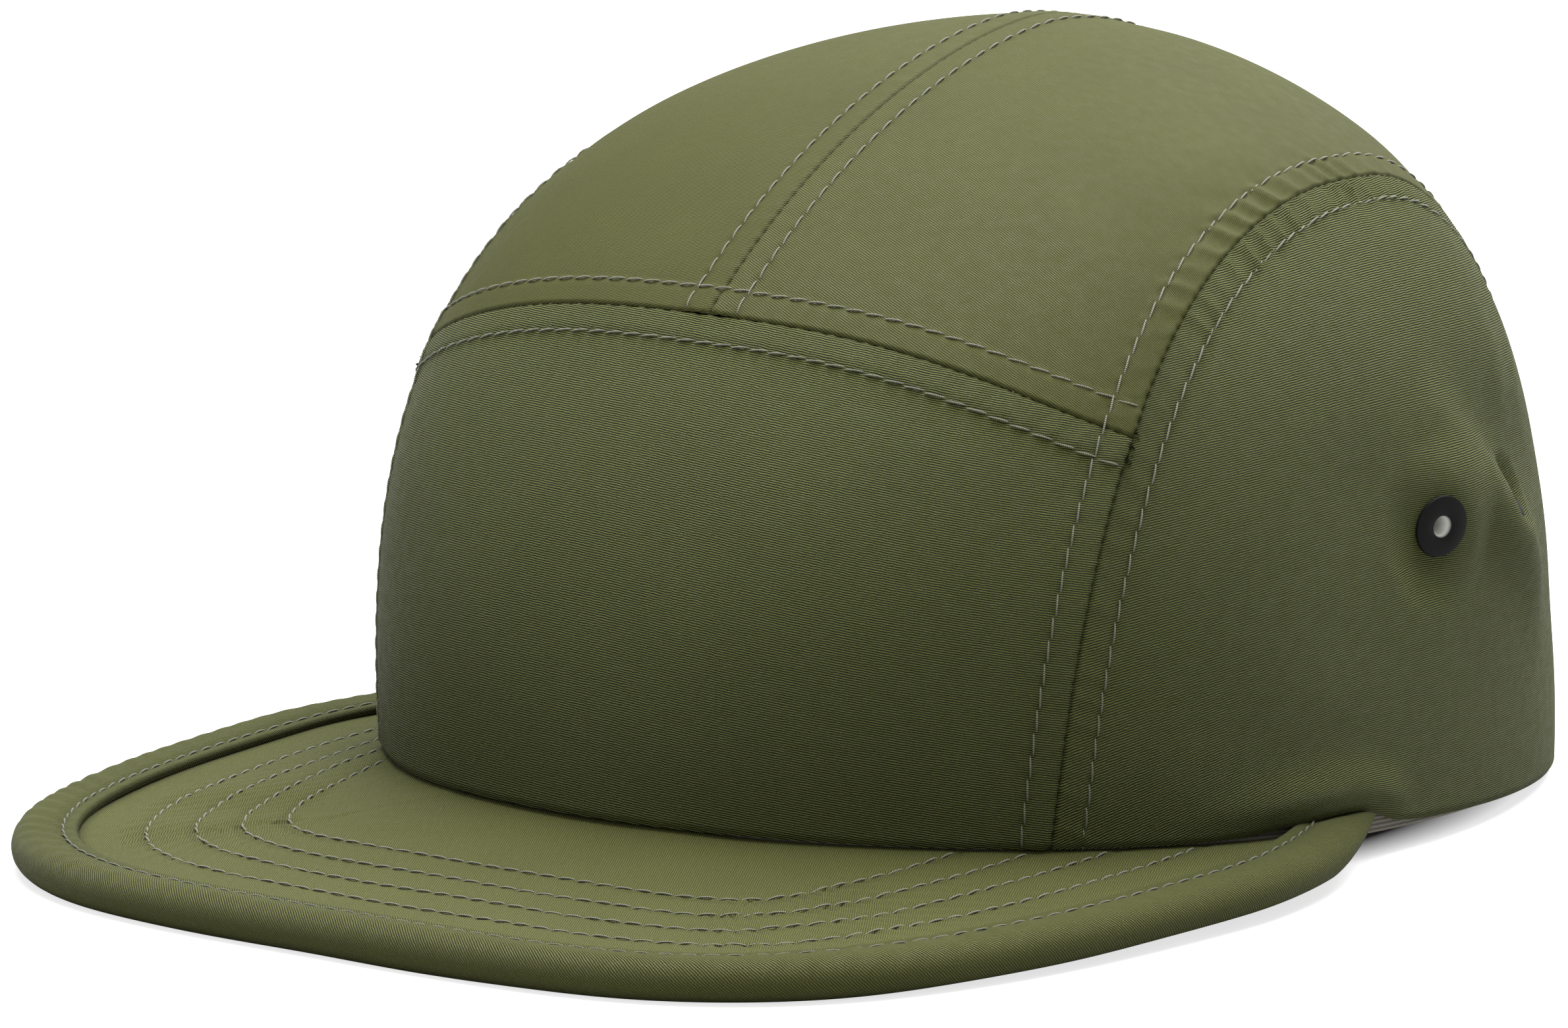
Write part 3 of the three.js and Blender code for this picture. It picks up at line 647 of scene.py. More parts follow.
def punch(piece, middles):
    """Opens the cloth under each eyelet."""
    select_only(piece)
    bpy.context.tool_settings.mesh_select_mode = (False, False, True)
    for polygon in piece.data.polygons:
        polygon.select = any((polygon.center - middle).length < HOLE_RADIUS for middle in middles)
    bpy.ops.object.mode_set(mode="EDIT")
    bpy.ops.mesh.delete(type="FACE")
    bpy.ops.object.mode_set(mode="OBJECT")


def wall(piece, thickness):
    finish_modifier(piece, "SOLIDIFY", thickness=thickness, offset=-1.0, use_even_offset=False)
    shade_smooth(piece, 60)


def front_panel():
    across = spaced(150)
    up = spaced(96)
    bottom = evenly(hem_point, -math.pi - FRONT_FOOT_ANGLE, FRONT_FOOT_ANGLE, across)
    top = evenly(front_seam, -CORNER_X, CORNER_X, across)
    left, right = [side_line(sign, 0, FRONT_CORNER_TURN, up) for sign in (-1, 1)]
    grid = patch(bottom, top, left, right)
    draw_back(grid, "left", "right", "top")
    seams = [line.near(grid) for line in (SIDE_SEAMS[1], SIDE_SEAMS[-1], FRONT_SEAM)]
    puckers = (FRONT_PUCKER, FRONT_PUCKER, FRONT_SEAM_PUCKER)
    height = sum(sewn_relief(*seam, pucker) for seam, pucker in zip(seams, puckers))
    rib = profile_length(grid[..., 2], lambda z: plan_at(z)[0])
    rib += FRONT_RIB_TILT * grid[..., 0] + FRONT_RIB_SAG * grid[..., 0] ** 2
    uv = np.stack([run_lengths(grid, 1), rib], -1)
    return panel("front_panel_cloth", grid, uv, height, seams)


def side_panel(side, sign, seats):
    across = spaced(300)
    up = spaced(110)
    hem = evenly(hem_point, FRONT_FOOT_ANGLE, BACK_FOOT_ANGLE, across) * [sign, 1, 1]
    over = side_line(sign, FRONT_CORNER_TURN, BACK_CORNER_TURN, across)
    front = side_line(sign, 0, FRONT_CORNER_TURN, up)
    back = side_line(sign, math.pi, BACK_CORNER_TURN, up)
    grid = patch(hem, over, front, back)
    draw_back(grid, "left", "right", "top")
    seam = SIDE_SEAMS[sign]
    near = seam.near(grid)
    height = sewn_relief(*near, *SIDE_GATHERS, seam.lengths[-1]) + fold_relief(grid)
    rib = profile_length(grid[..., 2], lambda z: plan_at(z)[2])
    rib += RIB_SAG * (grid[..., 2] / CROWN_HEIGHT) ** 2 * (grid[..., 1] - SEAM_PEAK) ** 2
    run = run_lengths(grid, 1)
    ahead = np.maximum(SIDE_RIB_FAN_BACK - grid[..., 1], 0)
    fan = SIDE_RIB_FAN * np.maximum(1 - grid[..., 2] / SIDE_RIB_FAN_TOP, 0)
    rib -= SIDE_RIB_TILT * run + fan * (SIDE_RIB_FAN_BACK - ahead ** 2 / SIDE_RIB_FAN_REACH)
    uv = np.stack([run, rib], -1) * SIDE_RIB_STRETCH
    return panel(f"side_panel_{side}_cloth", grid, uv, height, [near], seats)


def top_panel(side, sign):
    along = spaced(330)
    across = spaced(90)
    middle = evenly(centre_line, CENTRE_FROM, CENTRE_TO, along)
    outside = side_line(sign, FRONT_CORNER_TURN, math.pi, along)
    front = evenly(front_seam, 0, sign * CORNER_X, across)
    opening = evenly(arch, 0, 1, np.linspace(0, 1, 400))
    hem = evenly(hem_point, OPENING_ANGLE, BACK_FOOT_ANGLE, np.linspace(0, 1, 60))
    edge = np.concatenate([opening, hem[1:]]) * [sign, 1, 1]
    last = len(edge) - 1
    back = evenly(lambda share: edge[np.clip(np.rint(share * last).astype(int), 0, last)], 0, 1, across)
    grid = patch(front, back, middle, outside)
    grid[-1] = back
    draw_back(grid, "left", "right", "bottom")
    lines = [CENTRE_SEAM, SIDE_SEAMS[sign], FRONT_SEAM, ARCH_EDGES[sign]]
    seams = [line.near(grid) for line in lines]
    height = sewn_relief(*seams[0], TOP_PUCKER) + sewn_relief(*seams[2], TOP_PUCKER)
    height += sewn_relief(*seams[1], *TOP_GATHERS, lines[1].lengths[-1]) + edge_relief(seams[3][0])
    run = np.interp(sagittal(grid), sagittal(GRAIN_LINE.points), GRAIN_LINE.lengths)
    uv = turned(run_lengths(grid, 1), run, TOP_RIB_TURN)
    return panel(f"top_panel_{side}_cloth", grid, uv, height, seams)


# Brim

BRIM_END_Y = -HALF_LENGTH + BRIM_SET_BACK
BRIM_LENGTH = BRIM_REACH + BRIM_SET_BACK
BINDING_END_Y = -HALF_LENGTH + BINDING_END


def rim_point(turn):
    y = BRIM_END_Y - BRIM_LENGTH * np.abs(np.cos(turn)) ** BRIM_FRONT
    narrow_at = -HALF_LENGTH + BRIM_NARROW_FROM
    past = np.maximum(0, (y - narrow_at) / (BRIM_END_Y - narrow_at))
    widest = HALF_WIDTH + BRIM_BEYOND_SIDES
    x = widest * signed_power(np.sin(turn), BRIM_SIDE) * (1 - BRIM_NARROWING * past * past)
    return np.stack([x, y, rim_height(y)], -1)


def rim_run(end_y, count):
    """Points of the rim at even steps, each with the level direction that points out."""
    turn = math.acos(((BRIM_END_Y - end_y) / BRIM_LENGTH) ** (1 / BRIM_FRONT))
    shares = np.linspace(0, 1, count + 1)[::2]
    right, left = [evenly(rim_point, 0, side * turn, shares) for side in (-1, 1)]
    points = np.concatenate([right[:0:-1], left])
    step = np.gradient(points, axis=0)
    return points, unit(np.stack([step[:, 1], -step[:, 0], 0 * step[:, 0]], -1))


def brim_root(edge):
    """Where the brim starts, just inside the crown's hem."""
    middle = np.array([0, -CROWN_LENGTH / 4, 0])
    toward = unit((edge - middle) * [1, 1, 0])
    root = middle + toward * way_out(middle, toward, 0.0, CROWN_LENGTH)[:, None]
    return root - toward * CAD_CLOTH


def brim_grid(stations, shares):
    points, out = rim_run(-HALF_LENGTH + BOARD_END, stations)
    edge = points - out * (BINDING_WIDTH - BINDING_THICKNESS / 2 - BINDING_GRIP + 2 * CLEARANCE)
    t = shares[:, None, None]
    grid = brim_root(edge) * (1 - t) + edge * t
    rise = 1 - (1 - t[..., 0]) ** BRIM_CURVE
    grid[..., 2] = -CLEARANCE + (edge[:, 2] + BOARD / 2 + CLEARANCE) * rise
    return grid


def brim():
    grid = brim_grid(360, np.linspace(0, 1, 76))
    rim = Line(rim_run(BINDING_END_Y, 1200)[0] * [1, 1, 0])
    away, along = rim.near(grid * [1, 1, 0])
    height = 0.12 * MM * waver(along + 2 * away, 43 * MM, 71 * MM)
    # Painted shade: the crease mask darkens the groove at the binding's inner edge and each stitch row.
    crease_shade = bump((away - BINDING_WIDTH + BINDING_THICKNESS / 2) / (0.9 * MM))
    for row, distance in enumerate(BRIM_ROWS):
        pull = 0.6 + 0.4 * np.cos(2 * np.pi * along / STITCH_PITCH + row)
        height -= 0.2 * MM * pull * bump((away - distance) / (0.9 * MM))
        crease_shade = np.maximum(crease_shade, 0.4 * bump((away - distance) / (0.7 * MM)))
    sewn = smooth((away - BRIM_ROWS[0] + 5 * MM) / (3 * MM))
    sewn *= smooth((BRIM_ROWS[-1] + 5 * MM - away) / (4 * MM))
    slant = along + 1.1 * away + 1.5 * MM * waver(along, 23 * MM, 41 * MM)
    ripple = BRIM_RIPPLE * sewn * np.sin(2 * np.pi * slant / BRIM_RIPPLE_PITCH)
    ripple *= 0.6 + 0.4 * waver(along, 31 * MM, 47 * MM)
    corner = bump((np.abs(along - rim.lengths[-1] / 2) - BRIM_CORNER) / BRIM_CORNER_WIDTH)
    grid[..., 2] += height + ripple * (0.14 + 0.86 * corner)
    uv = turned(grid[..., 1], grid[..., 0], BRIM_RIB_TURN)
    piece = grid_mesh("brim_cloth", to_row(grid), uv, crease_shade)
    face_outward(piece, to_row(np.array([0, TIP_Y / 2, -1.0])))
    return piece


def binding_section():
    """The binding's outline round the brim's edge, as distances out from the roll's middle and up."""
    half_roll = BINDING_THICKNESS / 2
    inner = BINDING_WIDTH - half_roll
    slot = BOARD / 2 + 0.08 * MM
    corner = 0.75 * MM
    turn = np.linspace(0, np.pi / 2, 15)
    roll = half_roll * np.stack([np.cos(turn), np.sin(turn)], -1)
    inward = np.linspace(0, inner - corner, 14)[1:-1]
    sink = BINDING_LIP * smooth(inward / inner)
    dip = STITCH_DIP * 1.2 * bump((inward - BINDING_STITCH) / (0.9 * MM))
    top = np.stack([-inward, half_roll - sink - dip], -1)
    turn = np.linspace(np.pi / 2, np.pi * 0.95, 6)
    edge = np.stack([corner * (1 + np.cos(turn)) - inner,
                     half_roll - BINDING_LIP + corner * (np.sin(turn) - 1)], -1)
    mouth = np.array([[0.1 * MM, slot + 0.1 * MM], [0.6 * MM, slot], [BINDING_GRIP, slot]]) - [inner, 0]
    upper = np.concatenate([roll, top, edge, mouth])
    return np.concatenate([upper, upper[::-1] * [1, -1]])


def binding():
    points, out = rim_run(BINDING_END_Y, 460)
    section = binding_section()
    half_roll = BINDING_THICKNESS / 2
    room = -way_out(points * [1, 1, 0], out, -2 * BINDING_WIDTH - BRIM_REACH, BINDING_WIDTH) + CAD_CLOTH
    squeeze = (half_roll + np.minimum(BINDING_WIDTH - half_roll, room)) / BINDING_WIDTH
    past = np.clip((points[:, 1] - BINDING_END_Y + TAIL_LENGTH) / TAIL_LENGTH, 0, 1)
    flatten = 1 + (TAIL_THICKNESS / BINDING_THICKNESS - 1) * past[:, None] ** 1.5
    a, b = section[:, 0][None], section[:, 1][None]
    s = lengths_along(points)[:, None]
    corner = bump((np.abs(s - s[-1] / 2) - BINDING_CORNER) / BINDING_CORNER_WIDTH)
    strength = MM * (0.07 + 0.16 * corner) * (0.75 + 0.25 * waver(s, 19 * MM, 33 * MM))
    slant = s + 0.5 * a + 1.1 * MM * waver(s, 27 * MM, 41 * MM)
    pucker = strength * np.sin(2 * np.pi * slant / BINDING_PUCKER_PITCH)
    pucker = pucker * smooth((b + half_roll) / half_roll) * smooth((half_roll * 1.1 - a) / (2.6 * MM))
    pucker *= smooth((a + BINDING_STITCH + 3 * MM) / (2 * MM))
    plump = 0.12 * MM * waver(s, 37 * MM, 59 * MM, 83 * MM) * (a > -half_roll)
    grow = 1 + (pucker + plump) / np.maximum(np.hypot(a, b), half_roll)
    wide = half_roll - (half_roll - a * grow) * squeeze[:, None]
    ring = points[:, None] + out[:, None] * wide[..., None]
    ring[..., 2] += b * grow * flatten + TAIL_RISE * (1 - flatten)
    # Painted shade: the crease mask darkens the stitch dip and the groove along the binding's inner
    # edge.
    crease_shade = 0.35 * bump((a + BINDING_STITCH) / (0.8 * MM))
    crease_shade += bump((a + BINDING_WIDTH - half_roll) / (0.5 * MM))
    crease_shade = np.broadcast_to(np.minimum(crease_shade, 1.0), wide.shape)
    uv = turned(s + 0 * a, lengths_along(section) + 0 * s, BINDING_RIB_TURN)
    piece = grid_mesh("brim_binding_roll", to_row(ring), uv, crease_shade)
    with editing(piece):
        bpy.ops.mesh.select_mode(type="VERT")
        bpy.ops.mesh.remove_doubles(threshold=0.02 * MM)
        bpy.ops.mesh.select_all(action="DESELECT")
        bpy.ops.mesh.select_non_manifold(extend=False)
        bpy.ops.mesh.fill()
        bpy.ops.mesh.select_all(action="SELECT")
        bpy.ops.mesh.normals_make_consistent(inside=False)
    shade_smooth(piece)
    return piece


# Sweatband, strap and clasp

def liner(name, angles, rows, depth, low_line, high_line, crease_shade_at):
    """A strip inside the crown between two lines over its height."""
    hem = hem_point(angles)
    t = np.linspace(0, 1, rows + 1)[:, None]
    face = np.broadcast_to(hem, (rows + 1,) + hem.shape).copy()
    face[..., 2] = np.maximum(low_line(hem[:, 1]), 0) * (1 - t) + high_line(hem[:, 1]) * t
    face = on_crown(face)
    grid = face - grid_normals(face) * depth
    grid[0, :, 2] = low_line(grid[0, :, 1])
    up = run_lengths(grid, 0)
    uv = np.stack([run_lengths(grid, 1), up], -1)
    piece = grid_mesh(name, to_row(grid), uv, crease_shade_at(up))
    face_outward(piece, to_row(CORE))
    return piece


def sweatband():
    angles = np.linspace(math.pi - OPENING_ANGLE, 2 * math.pi + OPENING_ANGLE, 420)
    # Painted shade: the last function darkens the band along its stitch line.
    return liner("sweatband_twill", angles, 26, CAD_CLOTH + CLEARANCE, band_line,
                 lambda y: 0 * y + BAND_HEIGHT, lambda up: 0.5 * bump((up - BAND_STITCH) / (0.7 * MM)))


def strap():
    end = hem_angle_behind(OPENING_WIDTH / 2 + STRAP_TUCK)
    depth = CAD_CLOTH + CLEARANCE + BAND_THICKNESS + CLEARANCE
    # Painted shade: the last function darkens the strap along both its edges.
    return liner("back_strap_web", np.linspace(end, math.pi - end, 150), 24, depth,
                 lambda y: hem_line(y) + STRAP_ABOVE_HEM,
                 lambda y: hem_line(y) + STRAP_ABOVE_HEM + STRAP_HEIGHT,
                 lambda up: bump(np.minimum(up, up[-1:] - up) / (0.8 * MM)))


def clasp():
    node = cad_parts["strap_clasp"]
    piece = node.copy()
    piece.data = node.data.copy()
    piece.name = "strap_clasp_loop"
    piece.parent = None
    bpy.context.collection.objects.link(piece)
    with editing(piece):
        bpy.ops.mesh.remove_doubles(threshold=0.01 * MM)
        bpy.ops.mesh.dissolve_limited(angle_limit=math.radians(1))
    finish_modifier(piece, "BEVEL", width=0.45 * MM, segments=3, limit_method="ANGLE",
                    angle_limit=math.radians(40))
    shade_smooth(piece, 35)
    return piece


# Eyelets

def eyelet_seat(name, sign, forward, down, sink, flat, free):
    """Where an eyelet sits: its middle, its axis and the face that the cloth lies against."""
    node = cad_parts[name]
    corners = np.array([tuple(node.matrix_world @ v.co) for v in node.data.vertices])
    axis = np.linalg.svd(corners - corners.mean(axis=0), full_matrices=False)[2][2]
    axis = axis * np.sign(axis[0] * sign)
    middle = (corners.min(axis=0) + corners.max(axis=0)) / 2
    top = ((corners - middle) @ axis).max()
    middle = middle - axis * sink
    behind = unit(np.array([-axis[1], axis[0], 0.0])) * sign * math.tan(math.radians(forward))
    axis = unit(axis - behind - np.array([0, 0, math.tan(math.radians(down))]))
    face = middle + axis * (top - EYELET_RIM - EYELET_GAP)
    return {"name": name, "middle": middle, "axis": axis, "top": top, "face": face,
            "flat": flat, "free": free}


def eyelet(seat):
    """A rolled metal ring, turned round its axis from a half section."""
    bore, barrel, flange = EYELET_BORE / 2, EYELET_BARREL / 2, EYELET_FLANGE / 2
    top = seat["top"]
    under = top - EYELET_RIM
    profile = [
        (bore, -top), (flange * 0.88, -top), (flange * 0.9, 0.35 * MM - top), (barrel, 0.6 * MM - top),
        (barrel, under), (flange - 0.15 * MM, under), (flange, under + 0.22 * MM),
        (flange - 0.12 * MM, under + 0.5 * MM), (flange - 0.7 * MM, top - 0.12 * MM),
        (flange * 0.62, top), (bore + 0.75 * MM, top - 0.03 * MM), (bore + 0.3 * MM, top - 0.2 * MM),
        (bore, top - 0.75 * MM)]
    deselect()
    bpy.ops.mesh.primitive_circle_add(vertices=len(profile), radius=1, fill_type="NOTHING")
    piece = bpy.context.object
    piece.name = seat["name"] + "_ring"
    # Painted highlight: the bore is bare metal, painted pale to stand in for its bright reflection.
    bare_bore_highlight = piece.data.attributes.new("bare_bore_highlight", "FLOAT", "POINT")
    for vertex, (r, z) in zip(piece.data.vertices, profile):
        vertex.co = (r, 0, z)
        bare_bore_highlight.data[vertex.index].value = 1.0 if r <= bore else 0.0
    with editing(piece):
        bpy.ops.mesh.spin(steps=56, angle=2 * math.pi, center=(0, 0, 0), axis=(0, 0, 1))
        bpy.ops.mesh.select_all(action="SELECT")
        merge(0.01 * MM)
    turn = Vector((0, 0, 1)).rotation_difference(Vector(seat["axis"])).to_matrix().to_4x4()
    piece.data.transform(Matrix.Translation(Vector(seat["middle"])) @ turn)
    shade_smooth(piece, 40)
    return piece


# Stitches

def thread_shape():
    """One stitch along X with its ends dipping into the cloth, from a cylinder."""
    deselect()
    bpy.ops.mesh.primitive_cylinder_add(vertices=7, radius=THREAD / 2, depth=STITCH_LENGTH,
                                        end_fill_type="TRIFAN", rotation=(0, math.pi / 2, 0))
    piece = bpy.context.object
    bpy.ops.object.transform_apply(location=False, rotation=True, scale=False)
    with editing(piece):
        for cut in (-0.78, -0.4, 0.0, 0.4, 0.78):
            bpy.ops.mesh.select_all(action="SELECT")
            bpy.ops.mesh.bisect(plane_co=(cut * STITCH_HALF, 0, 0), plane_no=(1, 0, 0))
    corners = np.array([tuple(v.co) for v in piece.data.vertices])
    bent = np.abs(corners[:, 0] / STITCH_HALF) ** 3
    corners[:, 1:] *= (1 - 0.45 * bent)[:, None]
    corners[:, 2] += THREAD * (0.55 - 0.85 * bent)
    faces = [tuple(p.vertices) for p in piece.data.polygons]
    around = np.arctan2(corners[:, 2], corners[:, 1]) / (2 * np.pi)
    bpy.data.objects.remove(piece, do_unlink=True)
    return corners, faces, np.stack([corners[:, 0] / THREAD, around], -1)


def stitches(name, rows, skew, surfaces):
    """Stitches along rows of points and ways out, laid onto the surfaces, as one mesh."""
    corners, faces, uv = thread_shape()
    trees = [BVHTree.FromObject(s, bpy.context.evaluated_depsgraph_get()) for s in surfaces]
    all_points, all_faces, all_uv = [], [], []

    def lay(point, outward):
        """The first cloth that a line inwards meets: its place, normal, face and distance."""
        start = Vector(point + outward * LAY_FROM)
        hits = [tree.ray_cast(start, Vector(-outward), LAY_REACH) for tree in trees]
        return min((hit for hit in hits if hit[0] is not None), key=lambda hit: hit[3], default=None)

    for points, outward in rows:
        points, outward = to_row(points), leant(outward)
        lengths = lengths_along(points)
        count = int(lengths[-1] / STITCH_PITCH)
        for k in range(count):
            middle = (k + 0.5) * lengths[-1] / count
            hits = [lay(at_lengths(at, lengths, points), unit(at_lengths(at, lengths, outward)))
                    for at in (middle - STITCH_SPAN, middle + STITCH_SPAN)]
            if not all(hits):
                continue
            (start, start_normal), (end, end_normal) = [map(np.array, hit[:2]) for hit in hits]
            along = unit(end - start)
            across = unit(np.cross(unit(start_normal + end_normal), along))
            above = np.cross(along, across)
            along = along * math.cos(skew) + across * math.sin(skew)
            base = len(all_points) * len(corners)
            axes = np.stack([along, np.cross(above, along), above])
            all_points.append((start + end) / 2 + corners @ axes)
            all_faces.extend([tuple(i + base for i in face) for face in faces])
            all_uv.append(uv)
    mesh = bpy.data.meshes.new(name)
    mesh.from_pydata(np.concatenate(all_points).tolist(), [], all_faces)
    put_uv(mesh, np.concatenate(all_uv))
    mesh.update()
    piece = bpy.data.objects.new(name, mesh)
    bpy.context.collection.objects.link(piece)
    shade_smooth(piece, 80)
    return piece


def beside(line, distance, stretch=1.0):
    """The points at a distance beside a seam, over the crown, with their ways out."""
    outward = unit((line - CORE) * [stretch, 1, 1])
    across = unit(np.cross(outward, unit(np.gradient(line, axis=0))))
    moved = on_crown(line + across * distance)
    return moved, unit(moved - CORE)


def crown_rows():
    """The stitch lines on both sides of each seam and round the back opening."""
    both = (TOPSTITCH, -TOPSTITCH)
    rows = [beside(SIDE_SEAMS[sign].points, distance, 1.6) for sign in (1, -1) for distance in both]
    front = evenly(front_seam, -1.05 * CORNER_X, 1.05 * CORNER_X, FINE)
    seam = SIDE_SEAMS[1].points[:700]
    for distance in both:
        points, normals = beside(front, distance)
        keep = np.abs(points[:, 0]) < np.interp(points[:, 2], seam[:, 2], seam[:, 0]) - 0.4 * MM
        rows.append((points[keep], normals[keep]))
    for distance in both:
        points, normals = beside(CENTRE_SEAM.points, distance)
        keep = ARCH_EDGES[1].near(points * [np.sign(points[0, 0]), 1, 1])[0] > 1 * MM
        keep &= FRONT_SEAM.near(points)[0] > 0.5 * MM
        rows.append((points[keep], normals[keep]))
    for sign in (1, -1):
        line = ARCH_EDGES[sign].points
        up = np.stack([line[:, 0], 0 * line[:, 0], np.maximum(line[:, 2] - OPENING_STRAIGHT, 0)], -1)
        points = on_crown(line + unit(up) * TOPSTITCH)
        rows.append((points, unit(points - CORE)))
    return rows


def brim_row(distance):
    """A row of stitches inside the rim, rounded more the deeper it lies."""
    points, out = rim_run(BINDING_END_Y, 900)
    lengths = lengths_along(points)
    window = bump((lengths[:, None] - lengths) / (ROW_ROUNDING * distance))
    window[np.minimum(lengths, lengths[-1] - lengths) < ROW_START * distance] = 0
    for i in np.nonzero(window.sum(1) == 0)[0]:
        window[i, i] = 1
    moved = (window / window.sum(1, keepdims=True)) @ (points - out * distance)
    moved[:, 2] = 0
    keep = ~is_inside(moved + [0, 0, 0.01 * MM]) & (moved[:, 1] < ROW_END)
    keep &= np.linalg.norm(np.diff(moved, axis=0, append=moved[-1:]), axis=1) < 3 * MM
    moved[:, 2] = rim_height(moved[:, 1]) + FLOAT_ABOVE
    return moved[keep], np.broadcast_to([0.0, 0.0, 1.0], moved.shape)[keep]


# Shader groups and materials

class Nodes:
    """Adds and links the nodes of a material or group."""

    def __init__(self, tree):
        self.tree = tree
        tree.nodes.clear()

    def add(self, kind, sockets=None, **settings):
        node = self.tree.nodes.new(kind)
        for key, value in settings.items():
            setattr(node, key, value)
        self.feed(node, sockets or {})
        return node

    def feed(self, node, sockets):
        """Links or sets sockets of a node: an output is linked, a value is set."""
        for key, value in sockets.items():
            if hasattr(value, "is_output"):
                self.tree.links.new(value, node.inputs[key])
            else:
                node.inputs[key].default_value = value

    def math(self, operation, a, b=0.0, clamp=False):
        node = self.add("ShaderNodeMath", {0: a, 1: b}, operation=operation, use_clamp=clamp)
        return node.outputs[0]

    def times(self, a, b, clamp=False):
        return self.math("MULTIPLY", a, b, clamp)

    def mix(self, share, a, b):
        return self.add("ShaderNodeMix", {"Factor": share, 6: a, 7: b}, data_type="RGBA").outputs[2]

    def split(self, vector):
        return self.add("ShaderNodeSeparateXYZ", {0: vector}).outputs

    def noise(self, vector, scale, detail=3.0, roughness=0.5):
        sockets = {"Vector": vector, "Scale": scale, "Detail": detail, "Roughness": roughness}
        return self.add("ShaderNodeTexNoise", sockets).outputs["Fac"]

    def remap(self, value, low, high, to_low=0.0, to_high=1.0):
        sockets = {"Value": value, "From Min": low, "From Max": high,
                   "To Min": to_low, "To Max": to_high}
        return self.add("ShaderNodeMapRange", sockets).outputs["Result"]

    def wave(self, turns):
        """A wave from 0 to 1 over whole turns."""
        return self.remap(self.math("SINE", self.times(turns, 2 * math.pi)), -1, 1)


def group(name, inputs, outputs):
    """A new shader group with its sockets, as its tree, nodes, input sockets and output node."""
    tree = bpy.data.node_groups.new(name, "ShaderNodeTree")
    for label, kind, value in inputs:
        socket = tree.interface.new_socket(label, in_out="INPUT", socket_type=kind)
        if value is not None:
            socket.default_value = value
    for label, kind in outputs:
        tree.interface.new_socket(label, in_out="OUTPUT", socket_type=kind)
    nodes = Nodes(tree)
    return tree, nodes, nodes.add("NodeGroupInput").outputs, nodes.add("NodeGroupOutput")


def ribbed_weave():
    """Ribs along U with finer yarns across them. The vector is the UV map in millimetres. Its Shade
    output sets how much painted shade the grooves between the ribs get, with random flecks.
    """
    tree, nodes, given, result = group(
        "ribbed weave",
        [("Vector", "NodeSocketVector", None), ("Rib Spacing", "NodeSocketFloat", 0.48),
         ("Yarn Spacing", "NodeSocketFloat", 0.3), ("Unevenness", "NodeSocketFloat", 0.25)],
        [("Height", "NodeSocketFloat"), ("Shade", "NodeSocketFloat")])
    across, up = nodes.split(given["Vector"])[:2]
    slow = nodes.math("SUBTRACT", nodes.noise(given["Vector"], 0.9, 2.0), 0.5)
    wobbly = nodes.math("ADD", up, nodes.times(slow, given["Unevenness"]))
    rib_at = nodes.math("DIVIDE", wobbly, given["Rib Spacing"])
    yarn_at = nodes.math("DIVIDE", across, given["Yarn Spacing"])
    offset = nodes.times(nodes.math("FLOOR", rib_at), 0.5)
    yarn = nodes.remap(nodes.wave(nodes.math("ADD", yarn_at, offset)), 0, 1, 0.72, 1.0)
    bumpy = nodes.times(nodes.math("POWER", nodes.wave(rib_at), 0.7), yarn)
    fleck = nodes.remap(nodes.noise(given["Vector"], 3.1, 2.0, 0.7), 0.3, 0.7, 0.82, 1.12)
    shade = nodes.times(nodes.remap(bumpy, 0.18, 0.72), fleck, clamp=True)
    nodes.feed(result, {"Height": bumpy, "Shade": shade})
    return tree


def cloth_tone():
    """Colour of a cloth from its weave, with painted shade in the grooves between its ribs, slow
    mottling, and painted shade in creases.
    """
    tree, nodes, given, result = group(
        "cloth tone",
        [("Vector", "NodeSocketVector", None), ("Light", "NodeSocketColor", (0.5, 0.5, 0.5, 1)),
         ("Groove Shade", "NodeSocketColor", (0.1, 0.1, 0.1, 1)), ("Shade", "NodeSocketFloat", 0.5),
         ("Crease Shade", "NodeSocketFloat", 0.0), ("Mottling", "NodeSocketFloat", 0.12)],
        [("Color", "NodeSocketColor"), ("Roughness", "NodeSocketFloat")])
    weave = nodes.mix(given["Shade"], given["Groove Shade"], given["Light"])
    slow = nodes.math("SUBTRACT", nodes.noise(given["Vector"], 0.045, 4.0, 0.6), 0.5)
    bright = nodes.math("ADD", nodes.times(nodes.times(slow, given["Mottling"]), 2.0), 1.0)
    # Painted shade: creases are up to 45% darker.
    shaded = nodes.times(bright, nodes.math("SUBTRACT", 1.0, nodes.times(given["Crease Shade"], 0.45)))
    scaled = nodes.add("ShaderNodeVectorMath", operation="SCALE")
    nodes.feed(scaled, {0: weave, "Scale": shaded})
    rough = nodes.remap(nodes.noise(given["Vector"], 0.4, 3.0), 0.3, 0.7, 0.56, 0.7)
    rough = nodes.math("ADD", rough, nodes.times(given["Crease Shade"], 0.15))
    nodes.feed(result, {"Color": scaled.outputs[0], "Roughness": rough})
    return tree


RIBBED_WEAVE = ribbed_weave()
CLOTH_TONE = cloth_tone()


def material(name, finish):
    """A new material with one shader, whose constants are given by socket."""
    made = bpy.data.materials.new(name)
    made.use_nodes = True
    nodes = Nodes(made.node_tree)
    shader = nodes.add("ShaderNodeBsdfPrincipled", finish)
    nodes.add("ShaderNodeOutputMaterial", {0: shader.outputs[0]})
    return made, nodes, shader


def bumped(nodes, height, distance, strength=1.0):
    sockets = {"Strength": strength, "Distance": distance, "Height": height}
    return nodes.add("ShaderNodeBump", sockets).outputs[0]


def uv_map(nodes):
    return nodes.add("ShaderNodeUVMap", uv_map="UVMap").outputs[0]


def stored(nodes, name):
    return nodes.add("ShaderNodeAttribute", attribute_name=name).outputs["Fac"]


CLOTH_FINISH = {"Sheen Weight": 0.02, "Sheen Roughness": 0.45, "Sheen Tint": (0.95, 0.97, 0.85, 1),
                "Specular IOR Level": 0.12}


